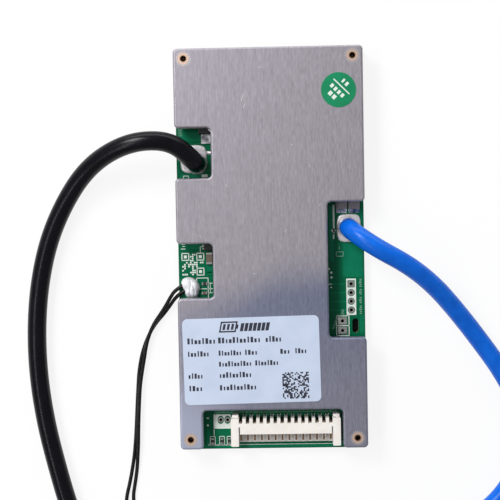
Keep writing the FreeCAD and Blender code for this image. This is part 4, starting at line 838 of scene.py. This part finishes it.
# %% Film and print
def film(name, color, shade):
    """Coated paper film: a smooth skin with faint cockles."""
    finish = Finish(name, color, 0.42, Specular_IOR_Level=0.3)
    cockle = finish.grain(6.0, detail=2.0)
    finish.clouded(cockle, 0.35, 0.65, color, shade)
    finish.bump(cockle, 0.05, 0.3)
    return finish.material


dress(["rating_label"], film("pale_film", (0.52, 0.595, 0.745), (0.56, 0.635, 0.79)))
dress(["inspection_label"], film("green_film", (0.002, 0.21, 0.085), (0.003, 0.25, 0.105)))
dark_ink = ink("dark_ink", (0.012, 0.014, 0.03), (0.05, 0.06, 0.1))
LABEL_TOP = PLATE_TOP + 0.1
LABEL_CENTRE = (-6.05, -31.3)
LABEL_TURN = 1.0
LABEL_INK = 0.015

# %% Rows of plain blocks on the rating label
ROWS = (
    (-25.3, ((-24.5, 8.4, 1.7), (-15.6, 12.4, 1.7), (-2.0, 4.8, 1.7))),
    (-28.95, ((-24.5, 6.4, 1.6), (-15.6, 6.8, 1.5), (-8.1, 3.9, 1.5), (2.1, 3.0, 1.5),
              (6.3, 3.6, 1.5))),
    (-32.1, ((-15.6, 9.6, 1.5), (-5.2, 6.9, 1.5))),
    (-35.3, ((-24.5, 4.4, 1.6), (-15.6, 9.5, 1.6))),
    (-38.9, ((-24.5, 4.2, 1.6), (-15.6, 10.8, 1.6))),
)


def print_row(x, y, width, height):
    """Placeholder blocks in step along a row, of three widths and two heights by turns."""
    count = max(1, int(round(width / (height * 0.6))))
    pitch = width / count
    shapes = []
    for i in range(count):
        wide = (0.72, 0.42, 0.62)[(i * 5 + count) % 3]
        tall = (1.0, 0.66, 0.66, 0.94)[(i * 3 + count) % 4]
        shapes.append(stroke(x + (i + 0.5) * pitch, y - (1 - tall) * height / 2, pitch * wide,
                             height * tall))
    return shapes


label_print = []
for y, words in ROWS:
    for x, width, height in words:
        label_print += print_row(x, y, width, height)

# %% A cell symbol and leaning blocks as the heading
HEADING_Y = -21.5
LEAN = 0.22
heading = box_lines(-14.6, -10.2, HEADING_Y - 1.35, HEADING_Y + 1.35, 0.42)
heading += [stroke(-9.8, HEADING_Y, 0.5, 1.2)]
heading += [stroke(-13.6 + 1.2 * i, HEADING_Y, 0.72, 1.7) for i in range(3)]
heading += [stroke(-8.4 + 1.22 * i, HEADING_Y - 0.2, 0.95, 2.3) for i in range(7)]
shear = np.array([[1.0, 0.0], [LEAN, 1.0]])
label_print += [(shape - (0.0, HEADING_Y)) @ shear + (0.0, HEADING_Y) for shape in heading]

# %% A plain chequer in place of the square code
CHEQUER_COUNT = 19
CHEQUER_SIDE = 0.4
draws = np.random.default_rng(19).random((CHEQUER_COUNT, CHEQUER_COUNT))
for row, col in np.argwhere(draws > 0.5):
    x, y = 2.75 + CHEQUER_SIDE * col, -42.5 + CHEQUER_SIDE * row
    label_print.append(stroke(x, y, CHEQUER_SIDE, CHEQUER_SIDE))
label_print = [turned(shape - LABEL_CENTRE, LABEL_TURN) + LABEL_CENTRE for shape in label_print]
printed("rating_label_print", label_print, LABEL_TOP, dark_ink, LABEL_INK)
print("blocks on the label:", len(label_print))

# %% Plain marks on the inspection label
STICKER_CENTRE = (19.98, 45.45)
STICKER_TURN = -45
marks = [stroke(0.0, 1.2, 6.2, 0.34)]
marks += [stroke(-2.1 + 1.35 * i, -0.45, 0.85, 1.15) for i in range(4)]
marks += [stroke(-0.95 + 1.5 * i, -2.35, 1.05, 1.25) for i in range(2)]
marks += [stroke(-0.75 + 1.35 * i, 2.75, 0.6 + 0.2 * i, 1.2) for i in range(2)]
marks = [turned(shape, STICKER_TURN) + STICKER_CENTRE for shape in marks]
printed("inspection_print", marks, LABEL_TOP, white_ink, LABEL_INK)
print("marks on the inspection label:", len(marks))

# %% [markdown]
# ## Connector, posts and small parts
# The connector is moulded nylon, ivory and a little translucent. The posts are brass, swaged
# into the plate by a tool that leaves a ring of short dents. Chips are black epoxy.

# %% Nylon, brass, tin and moulding compound
POST_MIDDLE_Y = 0.5
POST_HALF_X = 24.0
POST_HALF_Y = 54.6
POST_RIM = 2.0


def nylon():
    """Ivory moulding with a soft glow and a fine matt skin."""
    finish = Finish("nylon", (0.86, 0.82, 0.78), 0.45, Subsurface_Weight=0.15,
                    Subsurface_Radius=(0.003, 0.0025, 0.0018), Subsurface_Scale=0.4)
    clouds = finish.grain(2.5, detail=3.0)
    finish.clouded(clouds, 0.35, 0.65, (0.88, 0.84, 0.8), (0.83, 0.78, 0.735))
    finish.bump(finish.grain(0.2, detail=2.0, shift=4.0), 0.006, 0.3)
    return finish.material


def metal(name, bright, dull, roughness):
    """Plain metal with stains and fine marks."""
    finish = Finish(name, bright, roughness, Metallic=1.0)
    stain = finish.grain(0.7, detail=4.0)
    finish.clouded(stain, 0.4, 0.7, bright, dull)
    finish.rough(finish.level(stain, 0.3, 0.7, roughness * 0.8, roughness * 1.3))
    finish.bump(finish.grain(0.15, detail=2.0, shift=8.0), 0.01, 0.3)
    return finish.material


def moulding(name, color, shade):
    """Moulding compound with a fine spark-eroded skin."""
    finish = Finish(name, color, 0.5)
    skin = finish.grain(0.12, detail=3.0)
    finish.clouded(skin, 0.35, 0.65, color, shade)
    finish.bump(skin, 0.01, 0.4)
    return finish.material


def swaged_brass():
    """Brass posts: the colour goes by the distance from the nearest post's axis.

    The four posts lie symmetrically about (0, POST_MIDDLE_Y), so the size of each coordinate
    less half the spacing leads to the nearest axis. The bore is painted dark, a painted shade in
    the hole; the lip is coppery and its rolled rim fades to the grey of the plate at POST_RIM."""
    finish = Finish("swaged_brass", (0.7, 0.5, 0.38), 0.38, Metallic=0.8)
    place = finish.node("TexCoord").outputs["Object"]
    middle = (0.0, POST_MIDDLE_Y * MM, 0.0)
    centred = finish.node("VectorMath", {0: place, 1: middle}, operation="SUBTRACT")
    folded = finish.node("VectorMath", {0: centred.outputs[0]}, operation="ABSOLUTE")
    spacing = (POST_HALF_X * MM, POST_HALF_Y * MM, 0.0)
    local = finish.node("VectorMath", {0: folded.outputs[0], 1: spacing}, operation="SUBTRACT")
    flat = finish.node("VectorMath", {0: local.outputs[0], 1: (1.0, 1.0, 0.0)},
                       operation="MULTIPLY")
    radius = finish.node("VectorMath", {0: flat.outputs[0]}, operation="LENGTH").outputs["Value"]
    # The darkest stops near the axis paint the shade inside the bore.
    finish.color(finish.ramp(finish.level(radius, 0.0, POST_RIM * MM),
                             ((0.0, (0.02, 0.008, 0.004)), (0.38, (0.16, 0.07, 0.03)),
                              (0.46, (0.5, 0.33, 0.22)), (0.6, (0.82, 0.6, 0.48)),
                              (0.78, (0.7, 0.54, 0.48)), (0.92, (0.5, 0.45, 0.46)))))
    finish.bump(finish.grain(0.3, detail=2.0, shift=8.0), 0.02, 0.4)
    return finish.material


def tin_with_painted_reflections():
    """Tabs and shunt ends: tin with painted reflections, from bright to deep blue grey in patches.
    """
    finish = Finish("tin_with_painted_reflections", (0.5, 0.53, 0.56), 0.3, Metallic=0.8)
    patches = finish.grain(2.2, detail=2.0, shift=2.6)
    # The ramp paints reflections into the colour: deep blue grey patches and bright glints.
    finish.color(finish.ramp(patches, ((0.36, (0.12, 0.12, 0.16)), (0.5, (0.46, 0.46, 0.5)),
                                       (0.62, (0.92, 0.92, 0.92)))))
    finish.bump(patches, 0.08, 0.5)
    return finish.material


tin = metal("tin", (0.62, 0.62, 0.62), (0.33, 0.32, 0.31), 0.3)
dress(["cell_connector_housing"], nylon())
# The contacts are tin; their dark brown colour is a painted reflection and shade from inside the
# slit.
dress(["cell_connector_contacts"],
      metal("contacts_with_painted_reflection", (0.3, 0.19, 0.12), (0.16, 0.1, 0.06), 0.35))
dress(["cell_connector_joints", "bare_solder_pads", "mosfet_leads", "chip_leads",
       "balance_transistor_leads", "small_part_ends"], tin)
dress(["mosfet_tabs", "shunt_joints"], tin_with_painted_reflections())
posts = [f"threaded_post_{end}_{side}"
         for end in ("rear", "front") for side in ("left", "right")]
screws = [name.replace("threaded_post", "board_screw") for name in posts]
dress(posts, swaged_brass())
# The screws' colour is painted dark: a painted shade for their tips seen deep in the post bores.
dress(screws, metal("nickel_with_painted_shade", (0.2, 0.17, 0.15), (0.1, 0.08, 0.065), 0.45))
dress([f"{row}_mosfet_{i}" for row in ("charge", "discharge") for i in range(1, 5)]
      + ["monitor_chip", "controller_chip", "regulator_chip", "balance_resistors",
         "balance_transistors", "small_resistors"],
      moulding("moulding_black", (0.012, 0.012, 0.014), (0.022, 0.022, 0.025)))
dress(["small_capacitors"], moulding("ceramic_brown", (0.17, 0.12, 0.09), (0.1, 0.07, 0.05)))
dress(["shunt_resistor_left", "shunt_resistor_right"],
      moulding("shunt_grey", (0.24, 0.225, 0.235), (0.13, 0.12, 0.13)))
dress(["thermal_pad_charge", "thermal_pad_discharge"],
      moulding("thermal_rubber", (0.42, 0.47, 0.5), (0.36, 0.41, 0.44)))

# %% Swaging dents round the posts
MARK_BASE = PLATE_TOP - 0.005
DENT_RADIUS = 1.95
dents = []
for x in (-POST_HALF_X, POST_HALF_X):
    for y in (POST_MIDDLE_Y - POST_HALF_Y, POST_MIDDLE_Y + POST_HALF_Y):
        for angle in np.arange(0, 360, 18):
            dents.append(turned(stroke(DENT_RADIUS, 0.0, 0.32, 0.24), angle) + (x, y))
bright_dents = metal("bright_dents", (0.8, 0.76, 0.76), (0.6, 0.56, 0.56), 0.4)
printed("swaging_marks", dents, MARK_BASE, bright_dents, thickness=0.02)
print("dents:", len(dents))

# %% Small bright scuffs on the plate, seen in the photo near its middle
SCUFF_WIDTH = 0.16
SCUFFS = (
    (-7.4, 43.8, 2.2, -18), (-6.9, 41.4, 1.3, -25), (-16.6, 34.4, 1.6, 52),
    (-15.9, 33.4, 1.1, 8), (-12.3, 18.9, 0.9, 35), (4.3, 5.6, 1.0, -40),
    (11.5, 23.9, 0.8, 20), (-4.8, -6.4, 0.9, 65), (14.2, 12.9, 0.7, -10),
    (-20.1, 4.5, 0.8, 30), (6.6, 30.2, 0.7, 75), (-2.2, 52.3, 0.8, -60),
)
scuffs = [stroke(x, y, SCUFF_WIDTH, length, angle) for x, y, length, angle in SCUFFS]
fresh_scratch = metal("fresh_scratch", (0.72, 0.7, 0.74), (0.5, 0.48, 0.52), 0.45)
printed("scuffs", scuffs, MARK_BASE, fresh_scratch, thickness=0.012)
print("scuffs:", len(scuffs))

# %% [markdown]
# ## Floor, world and lamps
# The photograph has a plain white ground. The floor keeps a soft shadow, but to the camera
# and in reflections it is mostly its own white, so no extra light falls on the board. Under the
# board the floor's colour is painted near black, a painted shadow where no light gets in: the
# open holes then look black.

# %% Floor
FLOOR_SIDE = 4.0
floor_mesh = bpy.data.meshes.new("floor")
floor_corners = raised(stroke(0.0, 0.0, FLOOR_SIDE, FLOOR_SIDE), 0.0)
floor_mesh.from_pydata(floor_corners.tolist(), [], [(0, 1, 2, 3)])
floor = bpy.data.objects.new("floor", floor_mesh)
bpy.context.scene.collection.objects.link(floor)
print("floor in metres:", FLOOR_SIDE)

# %% White paper with a painted shadow under the board
FLOOR_WHITE = 0.93
SEEN_SHARE = 0.86
HIDDEN_HALF_X = 26.6
HIDDEN_HALF_Y = 57.6
EDGE_FADE = 1.2
paper = Finish("floor_paper", (0.85, 0.85, 0.85), 0.8)
ray = paper.node("LightPath").outputs
seen = paper.math("MAXIMUM", ray["Is Camera Ray"], ray["Is Glossy Ray"])
seen = paper.math("MAXIMUM", seen, ray["Is Transmission Ray"])
share = paper.math("MULTIPLY", seen, SEEN_SHARE)
place = paper.node("TexCoord").outputs["Object"]
axes = paper.node("SeparateXYZ", {"Vector": place}).outputs
across = paper.step(paper.math("ABSOLUTE", axes["X"]), (HIDDEN_HALF_X - EDGE_FADE) * MM,
                    HIDDEN_HALF_X * MM)
lengthwise = paper.step(paper.math("ABSOLUTE", axes["Y"]), (HIDDEN_HALF_Y - EDGE_FADE) * MM,
                        HIDDEN_HALF_Y * MM)
open_floor = paper.math("MAXIMUM", across, lengthwise)
# Painted shadow: the colour is near black under the board and white in the open.
paper.color(paper.mix(open_floor, (0.01, 0.01, 0.01), (FLOOR_WHITE,) * 3))
shown = paper.math("MULTIPLY", share, open_floor)
white = paper.node("Emission", {"Color": (1, 1, 1, 1), "Strength": 1.0})
both = paper.node("MixShader", {0: shown, 1: paper.shader.outputs["BSDF"],
                                2: white.outputs["Emission"]})
surface = paper.tree.nodes["Material Output"].inputs["Surface"]
paper.tree.links.new(both.outputs[0], surface)
floor_mesh.materials.append(paper.material)
print("dark part of the floor in mm:", 2 * HIDDEN_HALF_X, "by", 2 * HIDDEN_HALF_Y)

# %% World and lamps
WORLD_STRENGTH = 0.36
scene = bpy.context.scene
world = bpy.data.worlds.new("world")
world.use_nodes = True
background = world.node_tree.nodes["Background"].inputs
background["Color"].default_value = (1, 1, 1, 1)
background["Strength"].default_value = WORLD_STRENGTH
scene.world = world
scene.view_settings.view_transform = "Standard"


def softbox(name, place, size, power):
    """A rectangular lamp that looks at the origin; its place and sides are in metres."""
    lamp = bpy.data.lights.new(name, "AREA")
    lamp.shape = "RECTANGLE"
    lamp.size, lamp.size_y = size
    lamp.energy = power
    holder = bpy.data.objects.new(name, lamp)
    holder.rotation_euler = Vector(place).to_track_quat("Z", "Y").to_euler()
    holder.location = place
    scene.collection.objects.link(holder)
    print(name, "gives", power, "W")


softbox("key", (-0.42, 0.42, 0.62), (0.28, 0.28), 4.2)
softbox("left_strip", (-0.3, 0.05, 0.52), (0.9, 0.05), 1.3)
softbox("rear_strip", (0.0, 0.65, 0.16), (1.0, 0.14), 2.6)
